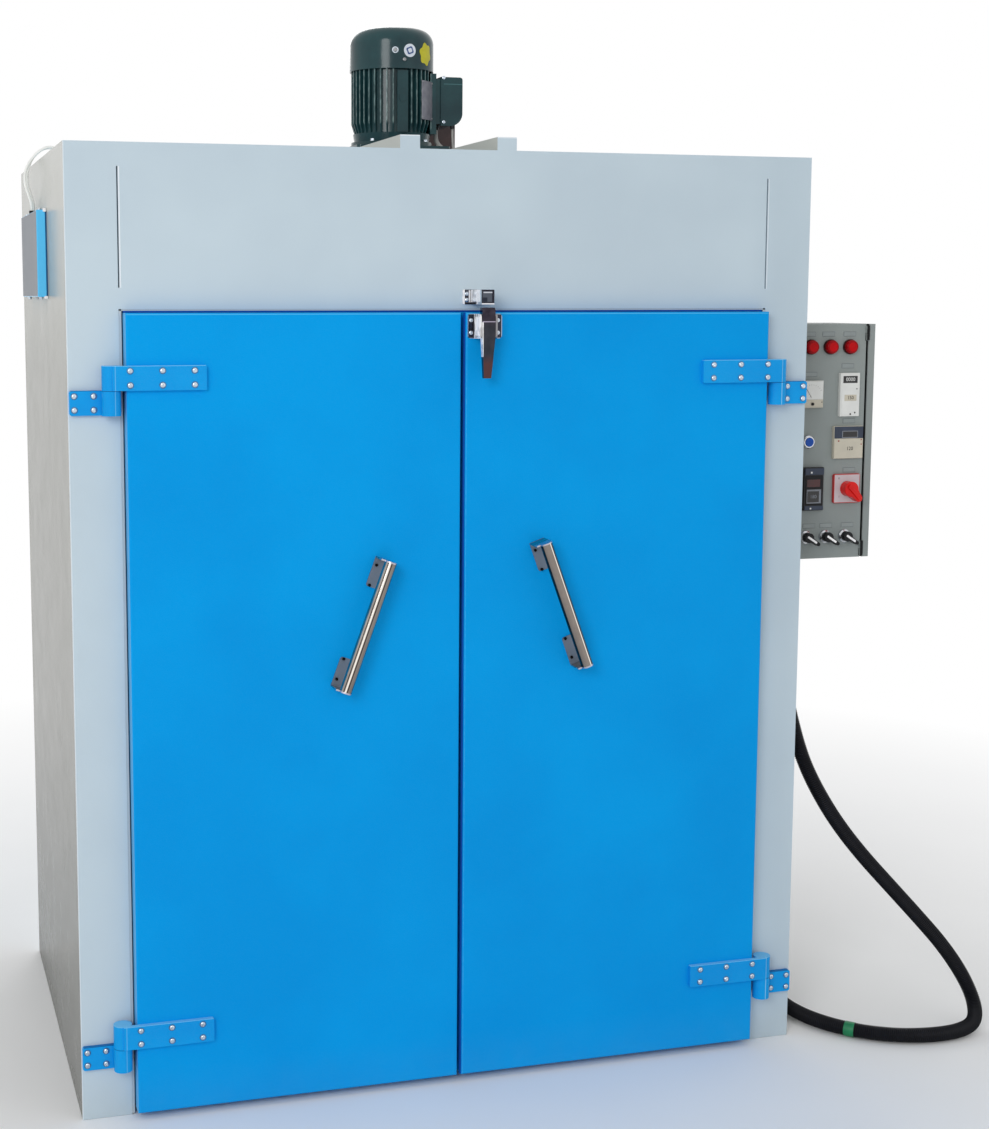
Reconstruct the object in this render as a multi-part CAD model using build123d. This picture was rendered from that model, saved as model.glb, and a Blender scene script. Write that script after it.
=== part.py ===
from build123d import *
import math
import os

# Trolley oven: an insulated cabinet with two hinged doors, a fan motor on the roof
# and a control box on the right wall. Millimetres, +Z up, front towards -Y.
# The origin is the middle of the cabinet's footprint, on the floor.

# Cabinet
cabinet_width = 1540
cabinet_depth = 960
cabinet_height = 1900
panel_thickness = 88
frame_depth = 90
stile_width = 98
header_height = 310
roof_thickness = 88
floor_sheet = 3
liner_sheet = 2
liner_joint = 1
slit_width = 3
slit_depth = 12
slit_above_opening = 40
slit_below_top = 45

# Doors
door_side_gap = 8
door_top_gap = 7
door_floor_gap = 15
centre_gap = 9
door_proud = 35
pan_depth = 60
pan_edge_radius = 4
plug_inset = 30
plug_depth = 30
plug_edge_radius = 6
stop_sheet = 4
stop_reach = 17
gasket_width = 13
gasket_clearance = 0.3
frame_joint = 1

# Strap hinges
hinge_bar_height = 47
hinge_bar_thickness = 10
strap_length = 178
leaf_length = 77
bar_corner = 3
barrel_diameter = 36
barrel_centre_out = 24
barrel_from_opening = 19
hinge_pin_diameter = 16
hinge_pin_clearance = 0.05
knuckle_gap = 0.3
hinge_inset = 152

# Grips
grip_length = 272
grip_diameter = 25
grip_wall = 1.5
grip_tilt = 20
grip_standoff = 44
grip_from_centre = 207
left_grip_height = 973
right_grip_height = 999
grip_foot_width = 32
grip_foot_height = 62
grip_foot_sheet = 3
grip_foot_shift = 4
grip_foot_corner = 5
grip_cap_ease = 0.5

# Door latch
latch_centre = 43
latch_base_width = 71
latch_base_height = 48
latch_base_sheet = 3
latch_base_corner = 6
latch_base_drop = 3
latch_cheek = 3
latch_cheek_far = 4
latch_cheek_out = 42
latch_cheek_corner = 8
latch_pivot_out = 34
latch_pivot_drop = 28
latch_pin_diameter = 8
latch_pin_clearance = 0.05
latch_side_clearance = 1
lever_centre = 37.5
lever_width = 27
lever_tip_width = 15
lever_tip_shift = -1.6
lever_nose_up = 37.5
lever_down = 100
lever_front_out = 9
lever_thickness = 10
lever_nose_slope = 5
lever_draft = 1
lever_back = 2
lever_hub = 9
lever_taper_start = 20
keeper_width = 59
keeper_height = 29
keeper_sheet = 4
keeper_corner = 3
keeper_hood_width = 26
keeper_hood_out = 72
keeper_hood_wall = 3
keeper_rise = 8.5

# Roof rails and fan motor
rail_width = 40
rail_height = 26
rail_spacing = 200
rail_sheet = 4
motor_plate_width = 210
motor_plate_length = 210
motor_plate_thickness = 12
motor_plate_corner = 10
motor_diameter = 184
flange_diameter = 178
flange_thickness = 12
shield_height = 18
shield_foot_diameter = 164
shield_diameter = 170
fin_body_height = 144.5
fin_root_diameter = 158
fin_count = 40
fin_thickness = 3
fin_taper = 7
fin_taper_height = 22
cowl_height = 94
cowl_wall = 3
cowl_corner = 32
cowl_crown = 4
cowl_overlap = 10
cowl_gap = 0.3
cast_overlap = 4
pad_width = 24
pad_below_cowl = 4
boss_diameter = 17
boss_height = 73
boss_out = 2
terminal_width = 96
terminal_height = 105
terminal_reach = 60.5
terminal_base = 10.5
terminal_above_plate = 49
terminal_seat_inset = 4
terminal_corner = 28
terminal_edge = 6
terminal_ear_diameter = 24
terminal_ear_drop = 2

# Exhaust stub behind the motor
stub_side = 80
stub_height = 150
stub_sheet = 2
stub_flange = 110
stub_flange_sheet = 3
stub_from_rail = 2
stub_behind_middle = 214

# Heater terminal cover on the left wall
cover_length = 373
cover_height = 176
cover_thickness = 21
cover_sheet = 2
cover_edge_radius = 3
cover_front = 345
cover_below_top = 111

# Control box on the right wall
box_width = 252
box_height = 520
box_depth = 200
box_sheet = 3
box_front = 150
box_low = 1034
box_lip = 16
panel_gap = 6
panel_sheet = 3
panel_return = 16
panel_hinge_out = 2
panel_hinge_inset = 4
panel_knuckle = 16
panel_barrel_diameter = 8
panel_pin_diameter = 4
panel_pin_short = 4
panel_bore_short = 3
panel_knuckle_root = 2
panel_column_pitch = 48
panel_column_from_edge = 41
lamp_level = 0.904
lamp_diameter = 30
lamp_out = 16
selector_level = 0.0946
selector_bezel_diameter = 29
selector_bezel_out = 9
selector_bezel_edge = 3
selector_knob_diameter = 22
selector_knob_out = 14
selector_reach = 31
selector_root_width = 11
selector_tip_width = 8
selector_angle = 33
button_level = 0.5025
button_diameter = 20
button_bezel_out = 8
button_bezel_edge = 2
button_travel = 3
button_length = 7
switch_level = 0.3
switch_plate_side = 65
switch_plate_out = 8
switch_plate_corner = 4
switch_handle_diameter = 34
switch_handle_out = 22
switch_handle_reach = 36
switch_root_width = 26
switch_tip_width = 16
switch_angle = 47
knob_clearance = 0.3
knob_edge = 1.5
instrument_edge_radius = 1.5
# column, sideways shift, level as a share of the door's height, width, height, how far it stands out
instruments = (
    (0, 0, 0.705, 60, 60, 10),
    (2, 0, 0.701, 48, 96, 9),
    (2, 0, 0.498, 72, 72, 9),
    (0, 13, 0.302, 48, 96, 10),
)

# Cords, and where each one's glands stand
motor_lead_diameter = 10
motor_lead_out = 8
motor_lead_y = -6
motor_lead_bush_x = 22
motor_lead_bush_y = -9
motor_wire_diameter = 5
motor_wire_out = 36
motor_wire_y = -42
motor_wire_bush_x = 11
motor_wire_bush_y = -41
heater_wire_diameter = 6
heater_wire_spread = 7
heater_wire_front_y = 175
heater_wire_rear_y = 211
heater_bush_in = 53
heater_bush_front_y = 185
heater_bush_rear_y = 217
heater_bush_height = 4
gland_length = 6
gland_wall = 6
roof_bush_height = 12
hose_diameter = 32
hose_from_wall = 45
hose_from_face = 40
hose_gland_length = 22
hose_nut_across = 46
hose_nut_height = 8
hose_fitting_wall = 2
elbow_from_wall = 46
elbow_from_front = 258
elbow_height = 34
elbow_sleeve = 30
elbow_flange = 6

# Derived places
front = -cabinet_depth / 2
back = cabinet_depth / 2
half_width = cabinet_width / 2
opening_half = half_width - stile_width
opening_top = cabinet_height - header_height
slit_low = opening_top + slit_above_opening
slit_high = cabinet_height - slit_below_top
door_front = front - door_proud
door_outer = opening_half - door_side_gap
door_inner = centre_gap / 2
door_top = opening_top - door_top_gap
pan_back = door_front + pan_depth
gasket_front = pan_back + gasket_clearance
stop_front = gasket_front + gasket_width
hinge_x = opening_half + barrel_from_opening
hinge_y = front - barrel_centre_out
hinge_levels = (hinge_inset, opening_top - hinge_inset)
rail_top = cabinet_height + rail_height
motor_base = rail_top + motor_plate_thickness
fins_low = motor_base + flange_thickness + shield_height
fins_high = fins_low + fin_body_height
fin_reach = motor_diameter / 2 - cowl_wall - cowl_gap
terminal_low = motor_base + terminal_above_plate
stub_x = rail_spacing / 2 + rail_width / 2 + stub_from_rail + stub_flange / 2
stub_y = stub_behind_middle + stub_side / 2
cover_high = cabinet_height - cover_below_top
cover_low = cover_high - cover_height
box_left = half_width
box_right = half_width + box_width
box_face = front + box_front
box_back = box_face + box_depth
box_high = box_low + box_height
panel_right = box_right - box_lip - panel_gap

parts = {}


def block(x0, x1, y0, y1, z0, z1):
    """A box between two corners."""
    centre = ((x0 + x1) / 2, (y0 + y1) / 2, (z0 + z1) / 2)
    return Pos(*centre) * Box(abs(x1 - x0), abs(y1 - y0), abs(z1 - z0))


def rod(x, y, z0, z1, diameter):
    """An upright round bar."""
    return Pos(x, y, (z0 + z1) / 2) * Cylinder(diameter / 2, z1 - z0)


def bar_x(x0, x1, y, z, diameter):
    """A round bar along X."""
    return Pos((x0 + x1) / 2, y, z) * Rot(0, 90, 0) * Cylinder(diameter / 2, x1 - x0)


def bar_y(x, y0, y1, z, diameter):
    """A round bar along Y."""
    return Pos(x, (y0 + y1) / 2, z) * Rot(90, 0, 0) * Cylinder(diameter / 2, abs(y1 - y0))


def flipped(shape):
    """The same shape on the other side of the middle plane."""
    return mirror(shape, about=Plane.YZ)


def on_side(side, shape):
    """A shape drawn for the right side, taken to either side."""
    return shape if side > 0 else flipped(shape)


# Cabinet

def stile():
    """Right front post."""
    return block(opening_half, half_width, front, front + frame_depth, 0, cabinet_height)


def header():
    body = block(-opening_half, opening_half, front, front + frame_depth, opening_top, cabinet_height)
    for side in (-1, 1):
        edge = side * opening_half
        slit = block(edge, edge - side * slit_width, front, front + slit_depth, slit_low, slit_high)
        body -= slit
    return body


def side_wall():
    return block(half_width - panel_thickness, half_width, front + frame_depth, back, 0, cabinet_height)


def back_wall():
    inner = half_width - panel_thickness
    return block(-inner, inner, back - panel_thickness, back, 0, cabinet_height)


def exhaust_bore(low, high):
    """The way out of the chamber, as wide as the inside of the stub."""
    half = stub_side / 2 - stub_sheet
    return block(stub_x - half, stub_x + half, stub_y - half, stub_y + half, low, high)


def roof_panel():
    inner = half_width - panel_thickness
    low = cabinet_height - roof_thickness
    body = block(-inner, inner, front + frame_depth, back - panel_thickness, low, cabinet_height)
    return body - exhaust_bore(low - 1, cabinet_height + 1)


def floor_plate():
    inner = half_width - panel_thickness
    return block(-inner, inner, front + frame_depth, back - panel_thickness, 0, floor_sheet)


def chamber_liner():
    """Inner sheets of the chamber: two sides, the back and the ceiling."""
    inner = half_width - panel_thickness
    y0 = front + frame_depth
    y1 = back - panel_thickness
    ceiling = opening_top + liner_joint
    sheets = [block(side * inner, side * (inner - liner_sheet), y0, y1 - liner_sheet - liner_joint,
                    floor_sheet, ceiling) for side in (-1, 1)]
    sheets.append(block(-inner, inner, y1 - liner_sheet, y1, floor_sheet, ceiling))
    low = ceiling + liner_joint
    top = block(-inner, inner, y0, y1, low, low + liner_sheet)
    sheets.append(top - exhaust_bore(low - 1, low + liner_sheet + 1))
    return sheets


def door_stops():
    """Strips round the opening that carry the seal."""
    y1 = stop_front + stop_sheet
    reach = opening_half - stop_reach
    side_top = opening_top - stop_reach - frame_joint
    strips = [block(side * reach, side * opening_half, stop_front, y1, 0, side_top) for side in (-1, 1)]
    strips.append(block(-opening_half, opening_half, stop_front, y1, opening_top - stop_reach, opening_top))
    return strips


def gasket_profile():
    """D-shaped seal section: flat foot at the back, round nose at the front."""
    depth = gasket_width
    nose = gasket_width / 2
    with BuildSketch() as section:
        with BuildLine():
            Line((-nose, 0), (nose, 0))
            Line((nose, 0), (nose, depth - nose))
            ThreePointArc((nose, depth - nose), (0, depth), (-nose, depth - nose))
            Line((-nose, depth - nose), (-nose, 0))
        make_face()
    return section.sketch


def door_gaskets():
    """Three lengths of seal on the stops."""
    middle = opening_half - stop_reach / 2
    side_top = opening_top - stop_reach - frame_joint
    strips = []
    for side in (-1, 1):
        plane = Plane(origin=(side * middle, stop_front, door_floor_gap), x_dir=(-1, 0, 0), z_dir=(0, 0, 1))
        strips.append(extrude(plane * gasket_profile(), side_top - door_floor_gap))
    plane = Plane(origin=(-opening_half, stop_front, opening_top - stop_reach / 2),
                  x_dir=(0, 0, 1), z_dir=(1, 0, 0))
    strips.append(extrude(plane * gasket_profile(), 2 * opening_half))
    return strips


# Doors, drawn for the right side and taken to the left

def door_panel():
    """Outer pan: folded sheet over insulation, with small radii at its front edges."""
    body = block(door_inner, door_outer, door_front, pan_back, door_floor_gap, door_top)
    return fillet(body.faces().sort_by(Axis.Y)[0].edges(), pan_edge_radius)


def door_plug():
    """Inner tray that steps into the opening."""
    body = block(door_inner + plug_inset, door_outer - plug_inset, pan_back, pan_back + plug_depth,
                 door_floor_gap + plug_inset, door_top - plug_inset)
    return fillet(body.faces().sort_by(Axis.Y)[-1].edges(), plug_edge_radius)


def hinge_straps():
    """Two straps with the upper knuckles, welded to one door."""
    shapes = []
    strap_face = door_front - hinge_bar_thickness
    for level in hinge_levels:
        top = level + hinge_bar_height
        low = level + knuckle_gap
        strap = block(hinge_x, hinge_x - strap_length, strap_face, door_front, level, top)
        strap = fillet(strap.edges().filter_by(Axis.Y).group_by(Axis.X)[0], bar_corner)
        strap -= block(hinge_x + 1, hinge_x - strap_length - 1, strap_face - 1, door_front + 1,
                       level - 1, low)
        strap += rod(hinge_x, hinge_y, low, top, barrel_diameter)
        strap -= rod(hinge_x, hinge_y, low - 1, top - hinge_bar_thickness,
                     hinge_pin_diameter + 2 * hinge_pin_clearance)
        shapes.append(strap)
    return shapes


def hinge_leaves():
    """Leaves with the lower knuckles and pins, on both stiles."""
    shapes = []
    for level in hinge_levels:
        low = level - hinge_bar_height
        leaf = block(hinge_x, hinge_x + leaf_length, front - hinge_bar_thickness, front, low, level)
        leaf = chamfer(leaf.edges().filter_by(Axis.Y).group_by(Axis.X)[-1], bar_corner)
        leaf += rod(hinge_x, hinge_y, low, level, barrel_diameter)
        leaf += rod(hinge_x, hinge_y, level, level + hinge_bar_height - hinge_bar_thickness - 1,
                    hinge_pin_diameter)
        shapes.extend([leaf, flipped(leaf)])
    return shapes


def grip(side):
    """Tilted tube between two angle feet, all welded together."""
    y = door_front - grip_standoff
    half = grip_length / 2
    radius = grip_diameter / 2
    tube = Cylinder(radius, grip_length)
    tube -= Cylinder(radius - grip_wall, grip_length - 2 * grip_foot_sheet)
    body = tube
    foot_left = -grip_foot_width / 2 - grip_foot_shift
    foot_right = foot_left + grip_foot_width
    for end in (-1, 1):
        z0 = end * half
        z1 = z0 - end * grip_foot_height
        plate = block(foot_left, foot_right, grip_standoff - grip_foot_sheet, grip_standoff, z0, z1)
        plate = fillet(plate.edges().filter_by(Axis.Y).group_by(Axis.Z)[0 if end > 0 else -1],
                       grip_foot_corner)
        cap = block(foot_left, foot_right, 0, grip_standoff, z0, z0 - end * grip_foot_sheet)
        cap += block(-radius, radius, -radius, 0, z0, z0 - end * grip_foot_sheet)
        front_edges = cap.edges().filter_by(Axis.Z).group_by(Axis.Y)[0]
        body += plate + fillet(front_edges, radius - grip_cap_ease)
    lean = grip_tilt if side < 0 else -grip_tilt
    height = left_grip_height if side < 0 else right_grip_height
    return Pos(side * grip_from_centre, y, height) * Rot(0, lean, 0) * body


# Latch on the right door

latch_pivot_y = door_front - latch_pivot_out
latch_pivot_z = door_top - latch_pivot_drop
lever_left = lever_centre - lever_width / 2
lever_right = lever_centre + lever_width / 2


def latch_base():
    """Plate with two cheeks that carry the lever's pin."""
    x0 = latch_centre - latch_base_width / 2
    z1 = door_top - latch_base_drop
    z0 = z1 - latch_base_height
    plate = block(x0, x0 + latch_base_width, door_front - latch_base_sheet, door_front, z0, z1)
    body = fillet(plate.edges().filter_by(Axis.Y), latch_base_corner)
    left = lever_left - latch_side_clearance
    right = lever_right + latch_side_clearance
    for c0, c1 in ((left - latch_cheek, left), (right, right + latch_cheek_far)):
        cheek = block(c0, c1, door_front - latch_cheek_out, door_front - latch_base_sheet / 2, z0, z1)
        body += fillet(cheek.edges().filter_by(Axis.X).group_by(Axis.Y)[0], latch_cheek_corner)
    return body + bar_x(left - latch_cheek / 2, right + latch_cheek_far / 2, latch_pivot_y, latch_pivot_z,
                        latch_pin_diameter)


def lever_outline():
    """The lever seen from its right side, from the pin's middle: inwards, then upwards."""
    face = -lever_front_out
    with BuildSketch() as outline:
        with BuildLine():
            Polyline((lever_hub / 2, lever_nose_up), (face / 2, lever_nose_up), (face, lever_nose_up - lever_nose_slope),
                     (face - lever_draft, -lever_taper_start), (face + lever_draft, -lever_down),
                     (face + lever_draft + lever_thickness, -lever_down), (lever_back, -lever_taper_start),
                     (lever_hub, -lever_hub), (lever_hub, lever_hub), (lever_hub / 2, 2 * lever_hub),
                     (lever_hub / 2, lever_nose_up))
        make_face()
    return outline.sketch


def latch_lever():
    """Tapered lever that hangs from its pin, with a nose below the keeper."""
    plane = Plane(origin=(lever_left, latch_pivot_y, latch_pivot_z), x_dir=(0, 1, 0), z_dir=(1, 0, 0))
    body = extrude(plane * lever_outline(), lever_width)
    start = latch_pivot_z - lever_taper_start
    low = latch_pivot_z - lever_down
    for side in (-1, 1):
        edge = lever_centre + side * lever_width / 2
        tip = lever_centre + lever_tip_shift + side * lever_tip_width / 2
        with BuildSketch(Plane.XZ) as taper:
            with BuildLine():
                Polyline((edge, start), (edge + side, start), (edge + side, low - 1), (tip, low - 1),
                         (tip, low), (edge, start))
            make_face()
        body -= Pos(0, latch_pivot_y, 0) * extrude(taper.sketch, lever_width, both=True)
    return body - bar_x(lever_left - 1, lever_right + 1, latch_pivot_y, latch_pivot_z,
                        latch_pin_diameter + 2 * latch_pin_clearance)


def latch_keeper():
    """Strike on the header: a plate with a hood that stands out as far as the lever, open below."""
    z0 = opening_top + keeper_rise
    z1 = z0 + keeper_height
    half = keeper_width / 2
    plate = block(lever_centre - half, lever_centre + half, front - keeper_sheet, front, z0, z1)
    plate = fillet(plate.edges().filter_by(Axis.Y), keeper_corner)
    outer = keeper_hood_width / 2
    inner = outer - keeper_hood_wall
    y0 = front - keeper_hood_out
    hood = block(lever_centre - outer, lever_centre + outer, y0, front - keeper_sheet / 2, z0, z1)
    hood = fillet(hood.edges().filter_by(Axis.X).group_by(Axis.Y)[0].sort_by(Axis.Z)[-1:], keeper_corner)
    hood -= block(lever_centre - inner, lever_centre + inner, y0 + keeper_hood_wall, front - keeper_sheet,
                  z0 - 1, z1 - keeper_hood_wall)
    return plate + hood


# Roof rails and fan motor

def roof_rails():
    """Two upturned channels along the roof."""
    shapes = []
    for side in (-1, 1):
        x = side * rail_spacing / 2
        half = rail_width / 2
        body = block(x - half, x + half, front, back, cabinet_height, rail_top)
        body -= block(x - half + rail_sheet, x + half - rail_sheet, front + rail_sheet, back - rail_sheet,
                      cabinet_height, rail_top - rail_sheet)
        shapes.append(body)
    return shapes


def motor_plate():
    x = motor_plate_width / 2
    y = motor_plate_length / 2
    body = block(-x, x, -y, y, rail_top, motor_base)
    return fillet(body.edges().filter_by(Axis.Z), motor_plate_corner)


def motor_fin():
    """One cooling fin, drawn on the right, that draws in towards its foot."""
    root = fin_root_diameter / 2 - cast_overlap
    with BuildSketch(Plane.XZ) as side_view:
        with BuildLine():
            Polyline((root, fins_low), (fin_reach - fin_taper, fins_low),
                     (fin_reach, fins_low + fin_taper_height), (fin_reach, fins_high),
                     (root, fins_high), (root, fins_low))
        make_face()
    return extrude(side_view.sketch, fin_thickness / 2, both=True)


def motor_frame():
    """Cast frame: flange, end shield, finned barrel, flat pad with a boss, seat of the terminal box."""
    shield = Pos(0, 0, motor_base + flange_thickness) * Cone(
        shield_foot_diameter / 2, shield_diameter / 2, shield_height,
        align=(Align.CENTER, Align.CENTER, Align.MIN))
    body = rod(0, 0, motor_base, motor_base + flange_thickness, flange_diameter) + shield
    body += rod(0, 0, fins_low, fins_high, fin_root_diameter)
    fin = motor_fin()
    for index in range(fin_count):
        angle = (index + 0.5) * 360 / fin_count
        if pad_clear(angle):
            body += Rot(0, 0, angle) * fin
    root = fin_root_diameter / 2 - cast_overlap
    pad_high = fins_high - cowl_overlap - pad_below_cowl
    body += block(-pad_width / 2, pad_width / 2, -fin_reach, -root, fins_low, pad_high)
    body += bar_y(0, -fin_reach - boss_out, -fin_reach + boss_out, fins_low + boss_height, boss_diameter)
    body += block(root, fin_reach, -terminal_width / 2, terminal_width / 2, fins_low, pad_high)
    return body


def pad_clear(angle):
    """Whether a fin at this angle stands clear of the front pad and the terminal box seat."""
    pad_half = math.degrees(math.asin((pad_width / 2 + fin_thickness) / (fin_root_diameter / 2)))
    seat_half = math.degrees(math.asin((terminal_width / 2 + fin_thickness) / (motor_diameter / 2)))
    from_pad = abs((angle - 270 + 180) % 360 - 180)
    from_seat = abs((angle + 180) % 360 - 180)
    return from_pad > pad_half and from_seat > seat_half


def cowl_form(inset):
    """Turned body of the fan cowl: its outside or, with an inset, its inside."""
    low = fins_high - cowl_overlap - inset
    high = fins_high - cowl_overlap + cowl_height - inset
    radius = motor_diameter / 2 - inset
    corner = cowl_corner - inset
    shoulder = radius - corner
    rim = high - cowl_crown
    dome = (shoulder ** 2 + cowl_crown ** 2) / (2 * cowl_crown)
    dome_half = math.degrees(math.asin(shoulder / dome))
    with BuildSketch(Plane.XZ) as section:
        with BuildLine():
            Polyline((0, high), (0, low), (radius, low), (radius, rim - corner))
            CenterArc((shoulder, rim - corner), corner, 0, 90)
            CenterArc((0, high - dome), dome, 90 - dome_half, dome_half)
        make_face()
    return revolve(section.sketch, Axis.Z)


def motor_cowl():
    """Domed fan cowl, a turned shell over the top of the fins."""
    return cowl_form(0) - cowl_form(cowl_wall)


def terminal_box():
    """Box on the motor's right side: seat with a round ear, then a lid with a rounded lower corner."""
    x1 = fin_reach + terminal_base
    z1 = terminal_low + terminal_height
    half = terminal_width / 2
    seat = block(fin_reach, x1, -half + terminal_seat_inset, half - terminal_seat_inset,
                 terminal_low + terminal_seat_inset, z1 - terminal_seat_inset)
    seat += bar_x(motor_diameter / 2 + cowl_gap, x1, 0, z1 - terminal_ear_drop, terminal_ear_diameter)
    lid = block(x1, fin_reach + terminal_reach, -half, half, terminal_low, z1)
    outer = lid.edges().filter_by(Axis.Y).group_by(Axis.X)[-1]
    lid = fillet(outer.sort_by(Axis.Z)[:1], terminal_corner)
    lid = fillet(lid.edges().filter_by(Axis.Y).group_by(Axis.X)[-1].sort_by(Axis.Z)[-1:], terminal_edge)
    return seat + lid


def exhaust_stub():
    """Square duct that stands on its flange over the way out of the chamber."""
    half = stub_side / 2
    foot = stub_flange / 2
    tube = block(stub_x - half, stub_x + half, stub_y - half, stub_y + half,
                 cabinet_height, cabinet_height + stub_height)
    flange = block(stub_x - foot, stub_x + foot, stub_y - foot, stub_y + foot,
                   cabinet_height, cabinet_height + stub_flange_sheet)
    return tube + flange - exhaust_bore(cabinet_height - 1, cabinet_height + stub_height + 1)


# Heater terminal cover

def heater_cover():
    """Shallow box with an open back, on the left wall."""
    x0 = -half_width - cover_thickness
    y0 = front + cover_front
    y1 = y0 + cover_length
    body = block(x0, -half_width, y0, y1, cover_low, cover_high)
    body = fillet(body.faces().sort_by(Axis.X)[0].edges(), cover_edge_radius)
    return body - block(x0 + cover_sheet, -half_width + 1, y0 + cover_sheet, y1 - cover_sheet,
                        cover_low + cover_sheet, cover_high - cover_sheet)


# Control box

rim_y = box_face + panel_return + panel_gap
hinge_gap_x = panel_right + panel_gap / 2
panel_hinge_y = box_face - panel_hinge_out
panel_left = box_left + panel_gap


def panel_knuckle_spans():
    """Lowest level of each control door hinge."""
    return (box_low + panel_hinge_inset, box_high - panel_hinge_inset - 2 * panel_knuckle)


def control_box():
    """Sheet box behind its door, with the hinge column on the right."""
    body = block(box_left, box_right, rim_y, box_back, box_low, box_high)
    body -= block(box_left + box_sheet, box_right - box_sheet, rim_y - 1, box_back - box_sheet,
                  box_low + box_sheet, box_high - box_sheet)
    column_left = panel_right + panel_gap
    column = block(column_left, box_right, box_face, rim_y + box_sheet, box_low, box_high)
    column -= block(column_left + box_sheet, box_right - box_sheet, box_face + box_sheet,
                    rim_y + box_sheet + 1, box_low + box_sheet, box_high - box_sheet)
    body += column
    for low in panel_knuckle_spans():
        top = low + panel_knuckle
        body += rod(hinge_gap_x, panel_hinge_y, low, top, panel_barrel_diameter)
        body += block(hinge_gap_x, column_left + 1, panel_hinge_y, box_face + panel_return / 2, low, top)
        body += rod(hinge_gap_x, panel_hinge_y, low, top + panel_knuckle - panel_pin_short,
                    panel_pin_diameter)
        body -= block(column_left - 1, column_left + panel_knuckle_root, box_face - 1, box_face + panel_return / 2,
                      top, top + panel_knuckle + 1)
    return body


def control_door():
    """Folded door that carries the instruments, with its half of the hinges."""
    y1 = box_face + panel_return
    body = block(panel_left, panel_right, box_face, y1, box_low, box_high)
    body -= block(panel_left + panel_sheet, panel_right - panel_sheet, box_face + panel_sheet, y1 + 1,
                  box_low + panel_sheet, box_high - panel_sheet)
    for low in panel_knuckle_spans():
        joint = low + panel_knuckle + knuckle_gap
        top = low + 2 * panel_knuckle
        body -= block(panel_right - panel_knuckle_root, panel_right + 1, box_face - 1, y1 + 1, low - 1, joint)
        body += rod(hinge_gap_x, panel_hinge_y, joint, top, panel_barrel_diameter)
        body += block(panel_right - panel_knuckle_root, hinge_gap_x, panel_hinge_y,
                      box_face + panel_return / 2, joint, top)
        body -= rod(hinge_gap_x, panel_hinge_y, joint - 1, top - panel_bore_short,
                    panel_pin_diameter + 2 * hinge_pin_clearance)
    return body


def column_x(index):
    """Lamps and selectors stand in three columns on the door."""
    return panel_right - panel_column_from_edge - (2 - index) * panel_column_pitch


def level_z(share):
    """Height of a row on the door."""
    return box_low + share * box_height


def facing(x, z):
    """Frame on the door's face, looking out of it."""
    return Plane(origin=(x, box_face, z), x_dir=(1, 0, 0), z_dir=(0, -1, 0))


def indicator_lamps():
    """Three domed lamps."""
    shapes = []
    for index in range(3):
        lamp = extrude(facing(column_x(index), level_z(lamp_level)) * Circle(lamp_diameter / 2), lamp_out)
        shapes.append(fillet(lamp.edges().group_by(Axis.Y)[0], lamp_out / 3))
    return shapes


def panel_instruments():
    """Ammeter, timer, temperature controller and limit controller."""
    shapes = []
    for column, shift, level, width, height, out in instruments:
        face = facing(column_x(column) + shift, level_z(level))
        unit = extrude(face * Rectangle(width, height), out)
        shapes.append(fillet(unit.faces().sort_by(Axis.Y)[0].edges(), instrument_edge_radius))
    return shapes


def bezel(index, level, out, edge):
    """Chrome ring with a bevelled front edge."""
    ring = extrude(facing(column_x(index), level_z(level)) * Circle(selector_bezel_diameter / 2), out)
    return chamfer(ring.edges().group_by(Axis.Y)[0], edge)


def control_bezels():
    """Rings of the three selectors and the push button."""
    shapes = [bezel(index, selector_level, selector_bezel_out, selector_bezel_edge) for index in range(3)]
    ring = bezel(0, button_level, button_bezel_out, button_bezel_edge)
    face = facing(column_x(0), level_z(button_level))
    shapes.append(ring - extrude(face * Circle(button_diameter / 2 + knob_clearance), button_bezel_out + 1))
    return shapes


def push_button():
    face = facing(column_x(0), level_z(button_level))
    body = extrude(face.offset(button_travel + knob_clearance) * Circle(button_diameter / 2), button_length)
    return fillet(body.edges().group_by(Axis.Y)[0], knob_edge)


def switch_plate():
    face = facing(column_x(2), level_z(switch_level))
    plate = RectangleRounded(switch_plate_side, switch_plate_side, switch_plate_corner)
    body = extrude(face * plate, switch_plate_out)
    return fillet(body.faces().sort_by(Axis.Y)[0].edges(), knob_edge)


def turning_handle(face, seat, hub, out, reach, width, tip):
    """Round hub with a tapering lever that points along the frame's X."""
    start = face.offset(seat + knob_clearance)
    outline = Circle(hub / 2) + make_hull(
        (Circle(width / 2).edges() + (Pos(reach - tip / 2, 0) * Circle(tip / 2)).edges()))
    body = extrude(start * outline, out)
    return fillet(body.edges().group_by(Axis.Y)[0], knob_edge)


def pointing(x, z, angle):
    """Frame on the door's face whose X points at an angle below the horizontal."""
    lean = math.radians(angle)
    return Plane(origin=(x, box_face, z), x_dir=(math.cos(lean), 0, -math.sin(lean)), z_dir=(0, -1, 0))


def main_switch():
    face = pointing(column_x(2), level_z(switch_level), switch_angle)
    return turning_handle(face, switch_plate_out, switch_handle_diameter, switch_handle_out,
                          switch_handle_reach, switch_root_width, switch_tip_width)


def selector(index):
    face = pointing(column_x(index), level_z(selector_level), selector_angle)
    return turning_handle(face, selector_bezel_out, selector_knob_diameter, selector_knob_out,
                          selector_reach, selector_root_width, selector_tip_width)


# Cords and their glands

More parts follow.
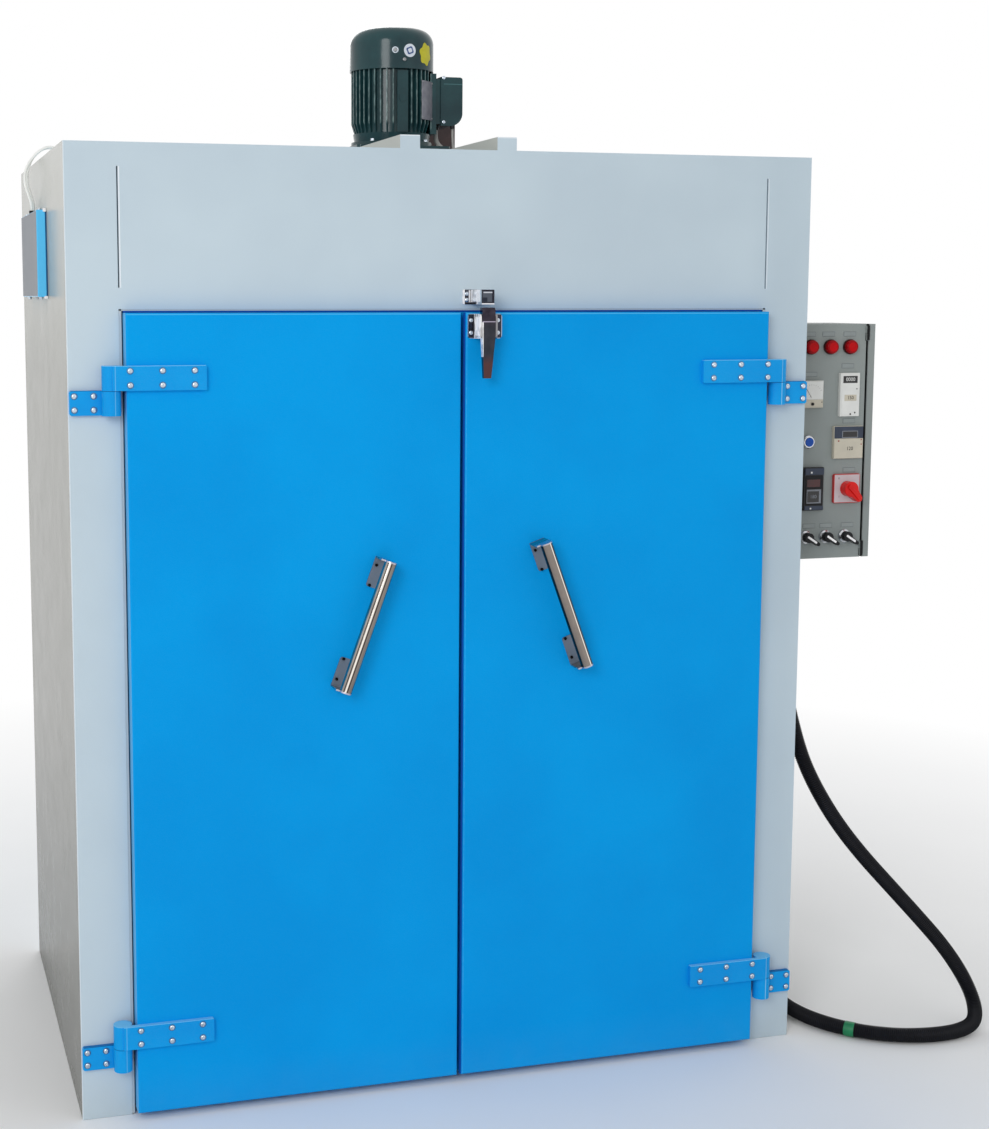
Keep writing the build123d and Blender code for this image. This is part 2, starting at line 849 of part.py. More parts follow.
def cord(corners, diameter):
    """Round cord along straight runs joined by tangent arcs."""
    radii = []
    for before, here, after in zip(corners, corners[1:], corners[2:]):
        run_in = here - before
        run_out = after - here
        half_turn = math.radians(run_in.get_angle(run_out) / 2)
        radii.append(0.45 * min(run_in.length, run_out.length) / math.tan(half_turn))
    path = FilletPolyline(*corners, radius=radii)
    body = sweep(Plane(origin=path @ 0, z_dir=path % 0) * Circle(diameter / 2), path=path)
    expected = math.pi * diameter ** 2 / 4 * path.length
    print("cord", diameter, "length", round(path.length), "radii", [round(radius) for radius in radii],
          "volume ratio", round(body.volume / expected, 3))
    return body


def fitted(route, start, end):
    """A chosen route whose ends stand at their glands; by its height each point follows one end or both."""
    first = Vector(*route[0])
    last = Vector(*route[-1])
    corners = []
    for point in route:
        share = min(max((point[2] - last.Z) / (first.Z - last.Z), 0), 1)
        corners.append(Vector(*point) + (start - first) * share + (end - last) * (1 - share))
    return corners


lead_x = motor_diameter / 2
rail_side = rail_spacing / 2 + rail_width / 2
terminal_gland_z = terminal_low - gland_length
roof_bush_z = cabinet_height + roof_bush_height
motor_lead_route = fitted(
    [(100, -6, 1981), (100, -6, 1968), (102, -6, 1956), (109, -7, 1946),
     (120, -8, 1939), (132, -9, 1934), (142, -9, 1924), (142, -9, 1912)],
    Vector(lead_x + motor_lead_out, motor_lead_y, terminal_gland_z),
    Vector(rail_side + motor_lead_bush_x, motor_lead_bush_y, roof_bush_z))
motor_wire_route = fitted(
    [(128, -42, 1981), (128, -42, 1964), (129, -42, 1946), (131, -41, 1929), (131, -41, 1912)],
    Vector(lead_x + motor_wire_out, motor_wire_y, terminal_gland_z),
    Vector(rail_side + motor_wire_bush_x, motor_wire_bush_y, roof_bush_z))
cover_middle = -half_width - cover_thickness / 2
cover_gland_z = cover_high + gland_length
wire_bush_x = heater_bush_in - half_width
wire_bush_z = cabinet_height + heater_bush_height
cover_y = front + cover_front
heater_wire_front_route = fitted(
    [(-784, 40, 1795), (-784, 40, 1808), (-790, 43, 1828), (-797, 47, 1850), (-797, 50, 1872),
     (-789, 52, 1893), (-775, 53, 1912), (-758, 53, 1926), (-742, 52, 1931), (-727, 51, 1926),
     (-717, 50, 1916), (-717, 50, 1904)],
    Vector(cover_middle - heater_wire_spread / 2, cover_y + heater_wire_front_y, cover_gland_z),
    Vector(wire_bush_x, cover_y + heater_bush_front_y, wire_bush_z))
heater_wire_rear_route = fitted(
    [(-777, 76, 1795), (-777, 76, 1810), (-783, 79, 1830), (-789, 83, 1851), (-790, 86, 1873),
     (-784, 88, 1894), (-774, 89, 1913), (-758, 88, 1927), (-741, 86, 1932), (-727, 84, 1927),
     (-717, 82, 1917), (-717, 82, 1904)],
    Vector(cover_middle + heater_wire_spread / 2, cover_y + heater_wire_rear_y, cover_gland_z),
    Vector(wire_bush_x, cover_y + heater_bush_rear_y, wire_bush_z))
hose_route = fitted(
    [(815, -290, 1012), (815, -290, 952), (812, -304, 884), (806, -334, 812), (801, -376, 742),
     (801, -416, 672), (811, -446, 604), (838, -468, 537), (882, -478, 466), (940, -484, 394),
     (1007, -488, 322), (1076, -492, 248), (1140, -500, 176), (1186, -514, 106), (1200, -542, 52),
     (1178, -580, 23), (1124, -602, 17), (1052, -604, 17), (980, -586, 17), (914, -546, 17),
     (862, -486, 17), (830, -414, 18), (818, -342, 24), (816, -272, 34), (816, -222, 34)],
    Vector(box_left + hose_from_wall, box_face + hose_from_face, box_low - hose_gland_length),
    Vector(half_width + elbow_from_wall, front + elbow_from_front, elbow_height))


def cable_glands():
    """Bushes where the leads leave the terminal box and the cover and enter the roof."""
    runs = (
        (motor_lead_route, motor_lead_diameter, terminal_low),
        (motor_wire_route, motor_wire_diameter, terminal_low),
        (heater_wire_front_route, heater_wire_diameter, cover_high),
        (heater_wire_rear_route, heater_wire_diameter, cover_high),
    )
    shapes = []
    for route, diameter, seat in runs:
        shapes.append(rod(route[0].X, route[0].Y, *sorted((route[0].Z, seat)), diameter + gland_wall))
        shapes.append(rod(route[-1].X, route[-1].Y, cabinet_height, route[-1].Z, diameter + gland_wall))
    return shapes


def hose_fittings():
    """Straight gland under the control box and an elbow on the right wall."""
    x, y, z = hose_route[0]
    across = hose_diameter + 2 * hose_fitting_wall
    collar = rod(x, y, z, box_low, across)
    hexagon = RegularPolygon(hose_nut_across / 2, 6, major_radius=False)
    nut = Pos(x, y, box_low) * extrude(hexagon, -hose_nut_height)
    x, y, z = hose_route[-1]
    bend_y = y + elbow_sleeve
    elbow = bar_y(x, y, bend_y, z, across) + bar_x(half_width, x, bend_y, z, across)
    elbow += Pos(x, bend_y, z) * Sphere(across / 2)
    flange = bar_x(half_width, half_width + elbow_flange, bend_y, z, hose_nut_across)
    return [collar + nut, elbow + flange]


def build_all():
    parts["left_stile"] = flipped(stile())
    parts["right_stile"] = stile()
    parts["header"] = header()
    parts["left_wall"] = flipped(side_wall())
    parts["right_wall"] = side_wall()
    parts["back_wall"] = back_wall()
    parts["roof_panel"] = roof_panel()
    parts["floor_plate"] = floor_plate()
    parts["chamber_liner"] = chamber_liner()
    parts["door_stops"] = door_stops()
    parts["door_gaskets"] = door_gaskets()
    for side, word in ((-1, "left"), (1, "right")):
        parts[word + "_door_panel"] = on_side(side, door_panel())
        parts[word + "_door_plug"] = on_side(side, door_plug())
        parts[word + "_hinge_straps"] = [on_side(side, shape) for shape in hinge_straps()]
        parts[word + "_door_grip"] = grip(side)
    parts["hinge_leaves"] = hinge_leaves()
    parts["latch_base"] = latch_base()
    parts["latch_lever"] = latch_lever()
    parts["latch_keeper"] = latch_keeper()
    parts["roof_rails"] = roof_rails()
    parts["motor_plate"] = motor_plate()
    parts["motor_frame"] = motor_frame()
    parts["motor_cowl"] = motor_cowl()
    parts["terminal_box"] = terminal_box()
    parts["exhaust_stub"] = exhaust_stub()
    parts["heater_cover"] = heater_cover()
    parts["control_box"] = control_box()
    parts["control_door"] = control_door()
    parts["indicator_lamps"] = indicator_lamps()
    parts["panel_instruments"] = panel_instruments()
    parts["control_bezels"] = control_bezels()
    parts["push_button"] = push_button()
    parts["switch_plate"] = switch_plate()
    parts["main_switch"] = main_switch()
    for index, word in enumerate(("left", "middle", "right")):
        parts[word + "_selector"] = selector(index)
    parts["motor_lead"] = cord(motor_lead_route, motor_lead_diameter)
    parts["motor_wire"] = cord(motor_wire_route, motor_wire_diameter)
    parts["heater_wire_front"] = cord(heater_wire_front_route, heater_wire_diameter)
    parts["heater_wire_rear"] = cord(heater_wire_rear_route, heater_wire_diameter)
    parts["cable_glands"] = cable_glands()
    parts["supply_hose"] = cord(hose_route, hose_diameter)
    parts["hose_fittings"] = hose_fittings()


build_all()
os.makedirs("parts", exist_ok=True)
for name, shape in parts.items():
    solids = shape if isinstance(shape, list) else [shape]
    export_step(Compound(children=[s for part in solids for s in part.solids()]), f"parts/{name}.step")
    print(name, len(solids))
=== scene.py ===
import math
import bpy
import bmesh
from mathutils import Matrix, Vector


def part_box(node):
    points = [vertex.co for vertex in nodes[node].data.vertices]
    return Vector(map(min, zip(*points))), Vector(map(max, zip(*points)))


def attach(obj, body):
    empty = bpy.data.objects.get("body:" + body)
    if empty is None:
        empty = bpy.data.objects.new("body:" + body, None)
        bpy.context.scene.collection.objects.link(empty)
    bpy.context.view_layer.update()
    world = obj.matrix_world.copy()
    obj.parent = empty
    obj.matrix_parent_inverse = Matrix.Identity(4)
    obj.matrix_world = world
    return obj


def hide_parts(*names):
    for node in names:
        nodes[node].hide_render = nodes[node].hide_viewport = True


# Looks of the trolley oven: paints, metals, screws, instrument faces, motor trim, leads and hose.
# Everything is in metres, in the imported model's own frame: front towards -Y, floor at z = 0.
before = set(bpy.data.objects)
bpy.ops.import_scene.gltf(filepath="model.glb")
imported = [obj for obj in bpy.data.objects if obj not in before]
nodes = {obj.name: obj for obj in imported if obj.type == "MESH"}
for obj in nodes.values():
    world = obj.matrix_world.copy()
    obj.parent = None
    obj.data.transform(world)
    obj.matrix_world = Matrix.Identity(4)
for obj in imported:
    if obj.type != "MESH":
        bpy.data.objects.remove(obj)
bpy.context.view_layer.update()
scene = bpy.context.scene
print("frame loaded:", len(nodes), "nodes")

# Camera at the photograph's place and viewing angle
cameraView = {
    "place": (-1.11566, -3.87739, 1.61170),
    "turn": (83.02447, -0.01103, -15.65321),  # degrees
    "lens": 57.12,
    "shift": (0.1026, -0.0423),
}
cameraData = bpy.data.cameras.new("viewCamera")
cameraData.lens = cameraView["lens"]
cameraData.shift_x, cameraData.shift_y = cameraView["shift"]
camera = bpy.data.objects.new("viewCamera", cameraData)
camera.location = cameraView["place"]
camera.rotation_euler = [math.radians(angle) for angle in cameraView["turn"]]
scene.collection.objects.link(camera)
scene.camera = camera
scene.view_settings.view_transform = "Standard"


def tone(red, green, blue):
    # 0 to 255 as seen on screen, turned into linear values
    def linear(level):
        level = level / 255
        return level / 12.92 if level <= 0.04045 else ((level + 0.055) / 1.055) ** 2.4
    return (linear(red), linear(green), linear(blue), 1.0)


def deselect():
    if bpy.context.object is not None and bpy.context.object.mode != "OBJECT":
        bpy.ops.object.mode_set(mode="OBJECT")
    bpy.ops.object.select_all(action="DESELECT")


def focus(*things):
    deselect()
    for thing in things:
        thing.select_set(True)
    bpy.context.view_layer.objects.active = things[0]


def enterEdit(piece, action="SELECT"):
    focus(piece)
    bpy.ops.object.mode_set(mode="EDIT")
    bpy.ops.mesh.select_mode(type="FACE")
    bpy.ops.mesh.select_all(action=action)


def leaveEdit():
    bpy.ops.object.mode_set(mode="OBJECT")


def pickTop(piece):
    # selects, in edit mode, the faces that look straight up
    enterEdit(piece, "DESELECT")
    mesh = bmesh.from_edit_mesh(piece.data)
    for face in mesh.faces:
        face.select_set(face.normal.z > 0.9)
    mesh.select_flush_mode()
    bmesh.update_edit_mesh(piece.data)


def applyAll(piece):
    focus(piece)
    for modifier in list(piece.modifiers):
        bpy.ops.object.modifier_apply(modifier=modifier.name)


def bevelEdges(piece, width, segments=2):
    modifier = piece.modifiers.new("edges", "BEVEL")
    modifier.width = width
    modifier.segments = segments
    modifier.limit_method = "ANGLE"
    modifier.angle_limit = math.radians(40)
    applyAll(piece)


def smoothPiece(piece, angle=40):
    focus(piece)
    bpy.ops.object.shade_smooth_by_angle(angle=math.radians(angle))


def settle(piece, name, body, look):
    # the place goes into the mesh, and the object itself stays at the origin
    focus(piece)
    bpy.ops.object.transform_apply(location=True, rotation=True, scale=True)
    piece.name = name
    piece.data.name = name
    piece.data.materials.clear()
    piece.data.materials.append(looks[look])
    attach(piece, body)


def block(low, high, edge=0.0, segments=2):
    # a box between two corners, with bevelled edges
    deselect()
    bpy.ops.mesh.primitive_cube_add(size=1, location=[(l + h) / 2 for l, h in zip(low, high)])
    piece = bpy.context.object
    piece.scale = [h - l for l, h in zip(low, high)]
    bpy.ops.object.transform_apply(location=False, rotation=False, scale=True)
    if edge:
        bevelEdges(piece, edge, segments)
    return piece


def disc(radius, depth, sides=24):
    # a round blank that stands on the origin, axis along +Z
    deselect()
    bpy.ops.mesh.primitive_cylinder_add(vertices=sides, radius=radius, depth=depth,
                                        location=(0, 0, depth / 2))
    piece = bpy.context.object
    bpy.ops.object.transform_apply(location=True, rotation=False, scale=False)
    return piece


def cut(piece, *tools):
    for tool in tools:
        modifier = piece.modifiers.new("cut", "BOOLEAN")
        modifier.object = tool
        modifier.operation = "DIFFERENCE"
        modifier.solver = "EXACT"
        applyAll(piece)
        bpy.data.objects.remove(tool)
    return piece


def joined(pieces):
    focus(*pieces)
    if len(pieces) > 1:
        bpy.ops.object.join()
    return bpy.context.view_layer.objects.active


def boxPiece(name, body, look, slotName, corners, edge, segments=1):
    # boxes between low and high corners, joined into one piece
    settle(joined([block(low, high, edge, segments) for low, high in corners]), name, body, look)


def spread(master, places, name, body, look, turnStep=2.4):
    # copies one finished fastener to each place, turned so that its +Z looks outwards
    copies = []
    for index, (place, outward) in enumerate(places):
        copy = master.copy()
        copy.data = master.data.copy()
        scene.collection.objects.link(copy)
        facing = Vector(outward).to_track_quat("Z", "Y").to_matrix().to_4x4()
        copy.matrix_world = (Matrix.Translation(place) @ facing
                             @ Matrix.Rotation(index * turnStep, 4, "Z"))
        copies.append(copy)
    settle(joined(copies), name, body, look)


def signs(operation):
    # one arithmetic sign for Flow, as the first and as the second of the two values
    return (lambda self, other: self.maths(operation, self, other),
            lambda self, other: self.maths(operation, other, self))


class Flow:
    # wraps one socket, so that shader maths reads as plain expressions
    def __init__(self, tree, socket):
        self.tree = tree
        self.socket = socket

    __add__, __radd__ = signs("ADD")
    __sub__, __rsub__ = signs("SUBTRACT")
    __mul__, __rmul__ = signs("MULTIPLY")
    __truediv__, __rtruediv__ = signs("DIVIDE")

    def make(self, kind, values, out=0, **settings):
        node = self.tree.nodes.new("ShaderNode" + kind)
        for key, value in settings.items():
            setattr(node, key, value)
        for key, value in values.items():
            self.feed(node.inputs[key], value)
        return Flow(self.tree, node.outputs[out])

    def feed(self, target, value):
        if isinstance(value, Flow):
            self.tree.links.new(value.socket, target)
        else:
            target.default_value = value

    def maths(self, operation, first, second=0.0):
        return self.make("Math", {0: first, 1: second}, operation=operation)

    def alone(self, operation):
        return self.maths(operation, self)

    def above(self, edge, soft=0.001):
        # 0 below the edge and 1 above it, with a soft step between
        return self.make("Math", {0: self, 1: 1 / soft, 2: 0.5 - edge / soft},
                         operation="MULTIPLY_ADD", use_clamp=True)

    def below(self, edge, soft=0.001):
        return (self * -1).above(-edge, soft)

    def mixed(self, first, second):
        # this value picks between two colours
        return self.make("Mix", {0: self, 6: first, 7: second}, out=2, data_type="RGBA")

    def noise(self, scale, detail=2.0, rough=0.5, stretch=None):
        vector = self.make("Mapping", {"Vector": self, "Scale": stretch}) if stretch else self
        return self.make("TexNoise", {"Vector": vector, "Scale": scale, "Detail": detail,
                                      "Roughness": rough})

    def axis(self, which):
        return self.make("SeparateXYZ", {0: self}, out="XYZ".index(which))

    def fromAxis(self):
        # distance from the upright axis through the origin
        flat = self.make("VectorMath", {0: self, 1: (1, 1, 0)}, operation="MULTIPLY")
        return self.make("VectorMath", {0: flat}, out=1, operation="LENGTH")

    def ramp(self, *stops):
        flow = self.make("ValToRGB", {0: self})
        elements = flow.socket.node.color_ramp.elements
        elements.remove(elements[1])
        elements[0].position, elements[0].color = stops[0]
        for place, colour in stops[1:]:
            elements.new(place).color = colour
        return flow

    def fade(self, start, end, dark=0):
        # dark up to start, white from end on
        return self.ramp((start, (dark, dark, dark, 1)), (end, (1, 1, 1, 1)))


looks = {}


def newLook(name):
    # the new material's object coordinates, from which its finish is built
    looks[name] = bpy.data.materials.new(name)
    looks[name].use_nodes = True
    tree = looks[name].node_tree
    return Flow(tree, tree.nodes.new("ShaderNodeTexCoord").outputs["Object"])


def dress(place, base, roughness, rest, relief=None, marks=()):
    # marks change colour and roughness by place; relief is height, strength and distance
    for mark in marks:
        base, roughness = mark(place, base, roughness)
    surface = {"Base Color": base, "Roughness": roughness, **rest}
    if relief:
        surface["Normal"] = place.make("Bump", dict(zip(("Height", "Strength", "Distance"),
                                                        relief)))
    for key, value in surface.items():
        place.feed(place.tree.nodes["Principled BSDF"].inputs[key], value)


def within(place, low, high, soft=0.002):
    # 1 inside a box given in metres; None leaves a side open
    mask = None
    for which, (start, end) in zip("XYZ", zip(low, high)):
        value = place.axis(which)
        for edge, sign in ((start, 1), (end, -1)):
            if edge is None:
                continue
            side = (value * sign).above(edge * sign, soft)
            mask = side if mask is None else mask * side
    return mask


def paint(place, colour, shade, rough=0.3, specular=0.3, mottle=3.0, speckle=0.05,
          peelScale=260.0, peel=0.06, coat=0.0, coatRough=0.08, marks=()):
    # sprayed paint: two close tones in clouds, fine speckle, orange peel, and marks by place
    base = place.noise(mottle, 3.0).fade(0.35, 0.65).mixed(colour, shade)
    base = (place.noise(900.0, 1.0).fade(0.35, 0.7) * speckle).mixed(base, (1, 1, 1, 1))
    dress(place, base, place.noise(14.0, 3.0) * 0.12 + (rough - 0.06),
          {"Specular IOR Level": specular, "Coat Weight": coat, "Coat Roughness": coatRough},
          (place.noise(peelScale, 2.0), peel, 0.001), marks)


def metal(place, colour, shade, rough=0.2, grain=(1, 1, 1), grainScale=200.0, scratch=0.05,
          clouds=20.0, marks=(), glints=()):
    # bare or plated metal with a drawn or polished grain; glints are boxes of painted highlight
    # that stay white
    lines = place.noise(grainScale, 3.0, 0.6, grain)
    base = place.noise(clouds, 3.0).fade(0.3, 0.75).mixed(colour, shade)
    lit = 0.0
    if glints:
        lit, *others = [within(place, low, high, 0.0005) for low, high in glints]
        for other in others:
            lit = lit.maths("MAXIMUM", lit, other)
        lit = lit * place.noise(120.0, 1.0, 0.5, (1, 1, 0.3)).fade(0.4, 0.5, 0.6)
        marks = (*marks, lambda place, base, roughness: (lit.mixed(base, tone(252, 250, 250)),
                                                         roughness))
    dress(place, base, lines * 0.16 + (rough - 0.08), {"Metallic": 1 - lit},
          (lines, scratch, 0.0005), marks)


def plastic(place, colour, shade, rough=0.35, specular=0.4, grainScale=1200.0, grain=0.05,
            coat=0.0, marks=()):
    # plastic and rubber: two close tones in clouds and a fine grain
    skin = place.noise(grainScale, 2.0)
    dress(place, place.noise(30.0, 3.0).fade(0.3, 0.7).mixed(colour, shade),
          skin * 0.1 + (rough - 0.05), {"Specular IOR Level": specular, "Coat Weight": coat},
          (skin, grain, 0.0003), marks)


def strip(colour, amount=1.0, soft=0.0004, rougher=0.0, x=(None, None), y=(None, None),
          z=(None, None)):
    # a mark: one box of the piece in another colour, open on the axes that aren't named
    def mark(place, base, roughness):
        mask = within(place, *zip(x, y, z), soft) * amount
        return mask.mixed(base, tone(*colour)), roughness + mask * rougher
    return mark


def fromNearest(place, across, which, first, pitch):
    # distance from the nearest of a row of spots; across is the distance beside the row
    along = (((place.axis(which) - first) / pitch + 0.5).alone("FRACT") - 0.5) * pitch
    return (across * across + along * along).alone("SQRT")


rivets = {"across": 0.668, "first": 0.08, "pitch": 0.29, "radius": 0.0062, "rim": 0.0076,
          "back": 0.4792}


def backRivets(place, base, roughness):
    # flush rivets down the two seams of the back
    across = place.axis("X").alone("ABSOLUTE") - rivets["across"]
    away = fromNearest(place, across, "Z", rivets["first"], rivets["pitch"])
    back = place.axis("Y").above(rivets["back"], 0.0004)
    base = (away.below(rivets["rim"], 0.0006) * back).mixed(base, tone(122, 132, 140))
    head = away.below(rivets["radius"], 0.0006) * back
    return head.mixed(base, tone(210, 216, 222)), roughness - head * 0.1


def lampRimShade(place, base, roughness):
    # painted shade: each lens darkens towards its rim, shading it as a dome
    low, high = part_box("indicator_lamps")
    radius = (high[2] - low[2]) / 2
    lift = place.axis("Z") - (low[2] + high[2]) / 2
    away = fromNearest(place, lift, "X", low[0] + radius, (high[0] - low[0]) / 2 - radius)
    ring = away.above(radius * 0.66, radius * 0.12) * 0.8
    return ring.mixed(base, tone(140, 6, 16)), roughness


def scuffs(place, base, roughness):
    # rubbed streaks low on the left wall and dust along the floor edge
    wall = within(place, (None, -0.44, 0.42), (-0.7685, -0.12, 0.78), 0.05)
    worn = wall * place.noise(9.0, 4.0, 0.6, (1, 2.2, 0.7)).fade(0.55, 0.68)
    base = (worn * 0.22).mixed(base, tone(214, 214, 218))
    low = place.axis("Z").below(0.03, 0.12) * place.noise(16.0, 4.0)
    base = (low * 0.35).mixed(base, tone(150, 152, 148))
    return base, roughness + worn * 0.15 + low * 0.25


def sideSheetReflections(place, base, roughness):
    # painted reflection and shade: the side sheets warmer and greyer than the front and darker
    # towards the bottom, for what the glossy left sheet mirrors; the right one is a plain guess
    side = (place.axis("X").alone("ABSOLUTE").above(0.7694, 0.0004)
            * place.axis("Y").above(-0.4792, 0.0006))
    warm = place.axis("Z").above(1.0, 1.9).mixed(tone(116, 117, 113), tone(160, 161, 153))
    warm = place.axis("Z").above(1.66, 0.4).mixed(warm, tone(198, 199, 193))
    warm = place.axis("X").above(0.0, 0.1).mixed(warm, tone(176, 179, 176))
    return side.mixed(base, warm), roughness - side * 0.14


def edgeDust(place, base, roughness):
    # pale dust along the foot of the doors
    low = place.axis("Z").below(0.05, 0.12) * place.noise(22.0, 4.0)
    return (low * 0.12).mixed(base, tone(120, 150, 170)), roughness + low * 0.2


folds = {"face": -0.5145, "top": 1.5794, "middle": (0.0040, 0.0068), "outer": 0.6622,
         "returned": 0.6636}


def doorFolds(place, base, roughness):
    # light caught by the folded edges: along the top and on each side of the middle gap
    face = place.axis("Y").below(folds["face"], 0.0006)
    top = place.axis("Z").above(folds["top"], 0.0006) * face
    base = (top * 0.7).mixed(base, tone(98, 194, 240))
    broken = place.noise(160.0, 1.0).fade(0.45, 0.6)
    start, end = folds["middle"]
    middle = within(place, (start, None, None), (end, None, None)) * face
    base = (middle * (broken * 0.5 + 0.25)).mixed(base, tone(128, 206, 246))
    across = place.axis("X").alone("ABSOLUTE")
    outer = across.above(folds["outer"], 0.0006) * face
    base = (outer * 0.5).mixed(base, tone(96, 192, 240))
    returned = across.above(folds["returned"], 0.0002) * (1 - face)
    return (returned * 0.5).mixed(base, tone(140, 206, 244)), roughness


grille = {"top": 2.1950, "inner": 0.014, "outer": 0.054, "rings": 700.0, "spokes": 3.0}


def fanGrilleShade(place, base, roughness):
    # painted shade: dark slots between rings and spokes on the top of the fan cowl, for openings
    # into its dark inside
    x, y = place.axis("X"), place.axis("Y")
    radius = place.fromAxis()
    rings = (radius * grille["rings"]).alone("SINE").above(0.1, 0.4)
    angle = x.maths("ARCTAN2", x, y)
    spokes = (angle * grille["spokes"]).alone("SINE").alone("ABSOLUTE").above(0.16, 0.08)
    top = place.axis("Z").above(grille["top"], 0.0006) * radius.below(grille["outer"], 0.001)
    slots = rings * spokes * top * radius.above(grille["inner"], 0.001)
    return slots.mixed(base, tone(8, 12, 14)), roughness + slots * 0.5


fins = {"crest": (0.0876, 0.0912), "body": ((None, None, 1.978), (0.0885, None, 2.1015)),
        "pad": ((-0.0128, None, None), (0.0128, -0.07, None))}


def finCrestWearAndHighlight(place, base, roughness):
    # rubbed paint and a painted highlight on the outer edges of the cooling fins
    radius = place.fromAxis()
    start, end = fins["crest"]
    body, pad = within(place, *fins["body"], 0.004), within(place, *fins["pad"], 0.0006)
    crest = radius.above(start, 0.0012) * body * radius.below(end, 0.0006) * (1 - pad)
    worn = place.noise(320.0, 2.0, 0.6, (1, 1, 0.25)).fade(0.42, 0.62)
    base = (crest * (worn * 0.5 + 0.14)).mixed(base, tone(132, 158, 156))
    return base, roughness + crest * 0.1


grips = {"out": 0.207, "heights": {-1: 0.973, 1: 0.999}, "lean": 20.0, "screwFace": -0.518,
         "across": -0.0135, "along": (0.119, 0.077)}
# painted reflections on the grip bars, drawn as bands
gripReflectionBands = {  # from and to across the slanted bar, by side, then amount and colour
    "middle": ([(0.0008, 0.0075)], [(-0.0100, 0.0036)], 0.7, (124, 114, 108)),
    "dark": ([(-0.0018, 0.0008), (-0.0080, -0.0062)], [(0.0060, 0.0084), (-0.0130, -0.0100)],
             0.92, (46, 36, 34)),
    "bright": ([(-0.0052, -0.0024)], [(0.0036, 0.0054)], 0.9, (252, 246, 236)),
}


def gripBarReflections(place, base, roughness):
    # painted reflections in long light and dark bands along the slanted bars, pale end caps, and
    # foot plates painted a duller blue-grey for what they mirror
    x, z = place.axis("X"), place.axis("Z")
    right = x.above(0.0, 0.001)
    low, high = grips["heights"].values()
    lift = z - (right * (high - low) + low)
    away = x.alone("ABSOLUTE") - grips["out"]
    cosine, sine = (turn(math.radians(grips["lean"])) for turn in (math.cos, math.sin))
    across = (away * cosine + lift * sine) * (right * 2.0 - 1.0)
    reach = lift * cosine - away * sine
    bar = place.axis("Y").below(-0.5455, 0.0006)
    for leftBands, rightBands, amount, colour in gripReflectionBands.values():
        streaks = 0.0
        for bands, side in ((leftBands, 1 - right), (rightBands, right)):
            for low, high in bands:
                streaks = across.above(low, 0.0008) * across.below(high, 0.0008) * side + streaks
        base = (streaks * bar * amount).mixed(base, tone(*colour))
    caps = reach.alone("ABSOLUTE").above(0.1331, 0.0004) * bar
    base = (caps * 0.85).mixed(base, tone(196, 192, 204))
    feet = place.axis("Y").above(-0.5195, 0.0006)
    base = (feet * 0.85).mixed(base, tone(122, 138, 158))
    return base, roughness + caps * 0.15 + feet * 0.42


edgeHighlight = (238, 244, 248)
seamDark = (112, 124, 132)
cabinetMarks = (
    sideSheetReflections, scuffs, backRivets,
    # painted shade: the right stile's front a little darker
    strip((150, 170, 184), 0.22, 0.06, x=(0.664, 0.7695), y=(None, -0.4785)),
    strip(seamDark, 0.8, x=(-0.6829, -0.6811), y=(0.477, None)),
    strip(seamDark, 0.8, x=(0.6811, 0.6829), y=(0.477, None)),
    strip(seamDark, 0.8, x=(-0.6829, -0.6811), y=(-0.39, 0.393), z=(1.899, 1.9004)),
    strip(seamDark, 0.8, x=(0.6811, 0.6829), y=(-0.39, 0.393), z=(1.899, 1.9004)),
    strip(seamDark, 0.8, x=(-0.6829, 0.6829), y=(0.3911, 0.3929), z=(1.899, 1.9004)),
    strip(seamDark, 0.8, x=(-0.6829, 0.6829), y=(-0.3909, -0.3891), z=(1.899, 1.9004)),
    # painted highlights: the left front edge, and a pale line right of each slit
    strip(edgeHighlight, 0.55, x=(-0.7712, -0.7682), y=(None, -0.4784), z=(0.0, 1.9)),
    strip(edgeHighlight, 0.8, x=(-0.669, -0.6662), y=(None, -0.479), z=(1.63, 1.855)),
    strip(edgeHighlight, 0.5, x=(0.6722, 0.6746), y=(None, -0.479), z=(1.63, 1.855)),
    # painted light: the rails warmed to beige, as lit from warm surroundings
    strip((196, 191, 176), 0.7, y=(-0.4785, None), z=(1.9006, None)),
    # painted highlight along the front top edges of the rails
    strip(edgeHighlight, 0.7, x=(-0.1205, 0.1205), y=(None, -0.4792), z=(1.9238, 1.927)),
    # painted reflection: a faint blue of the doors on the front just above them
    strip((140, 188, 222), 0.16, 0.05, x=(-0.66, 0.66), y=(None, -0.4792), z=(1.4, 1.6)))
caseMarks = (
    strip((228, 229, 226), x=(0.932, 0.986), z=(1.347, 1.45)),
    strip((203, 197, 180), x=(0.92, 0.998), z=(1.254, 1.332)),
    strip((30, 31, 36), x=(0.848, 0.904), z=(1.14, 1.242)),
    strip((196, 192, 178), x=(0.83, 0.896), z=(1.368, 1.389)))
plateMarks = (
    strip((188, 52, 52), z=(1.2207, None)),
    strip((188, 52, 52), z=(None, 1.1593)),
    strip((188, 52, 52), x=(0.9897, None)),
    strip((188, 52, 52), x=(None, 0.9283)))
# painted reflections on the dark chrome base: pale rims round the plate and a grey right cheek
baseReflections = (
    strip((186, 196, 212), x=(None, 0.0086), y=(-0.5195, None)),
    strip((186, 196, 212), x=(0.0774, None), y=(-0.5195, None)),
    strip((186, 196, 212), y=(-0.5195, None), z=(1.579, None)),
    strip((186, 196, 212), y=(-0.5195, None), z=(None, 1.533)),
    strip((150, 148, 152), 0.9, x=(0.0515, 0.0565), y=(-0.56, -0.519)))
# painted reflections on the dark chrome lever: brownish low down, grey in the middle, and a pale
# line at the crease
leverReflections = (
    strip((92, 62, 60), 0.8, 0.02, z=(None, 1.493)),
    strip((56, 62, 68), 0.6, 0.02, z=(1.493, 1.56)),
    strip((190, 180, 200), 0.85, y=(None, -0.55), z=(1.5642, 1.5658)))
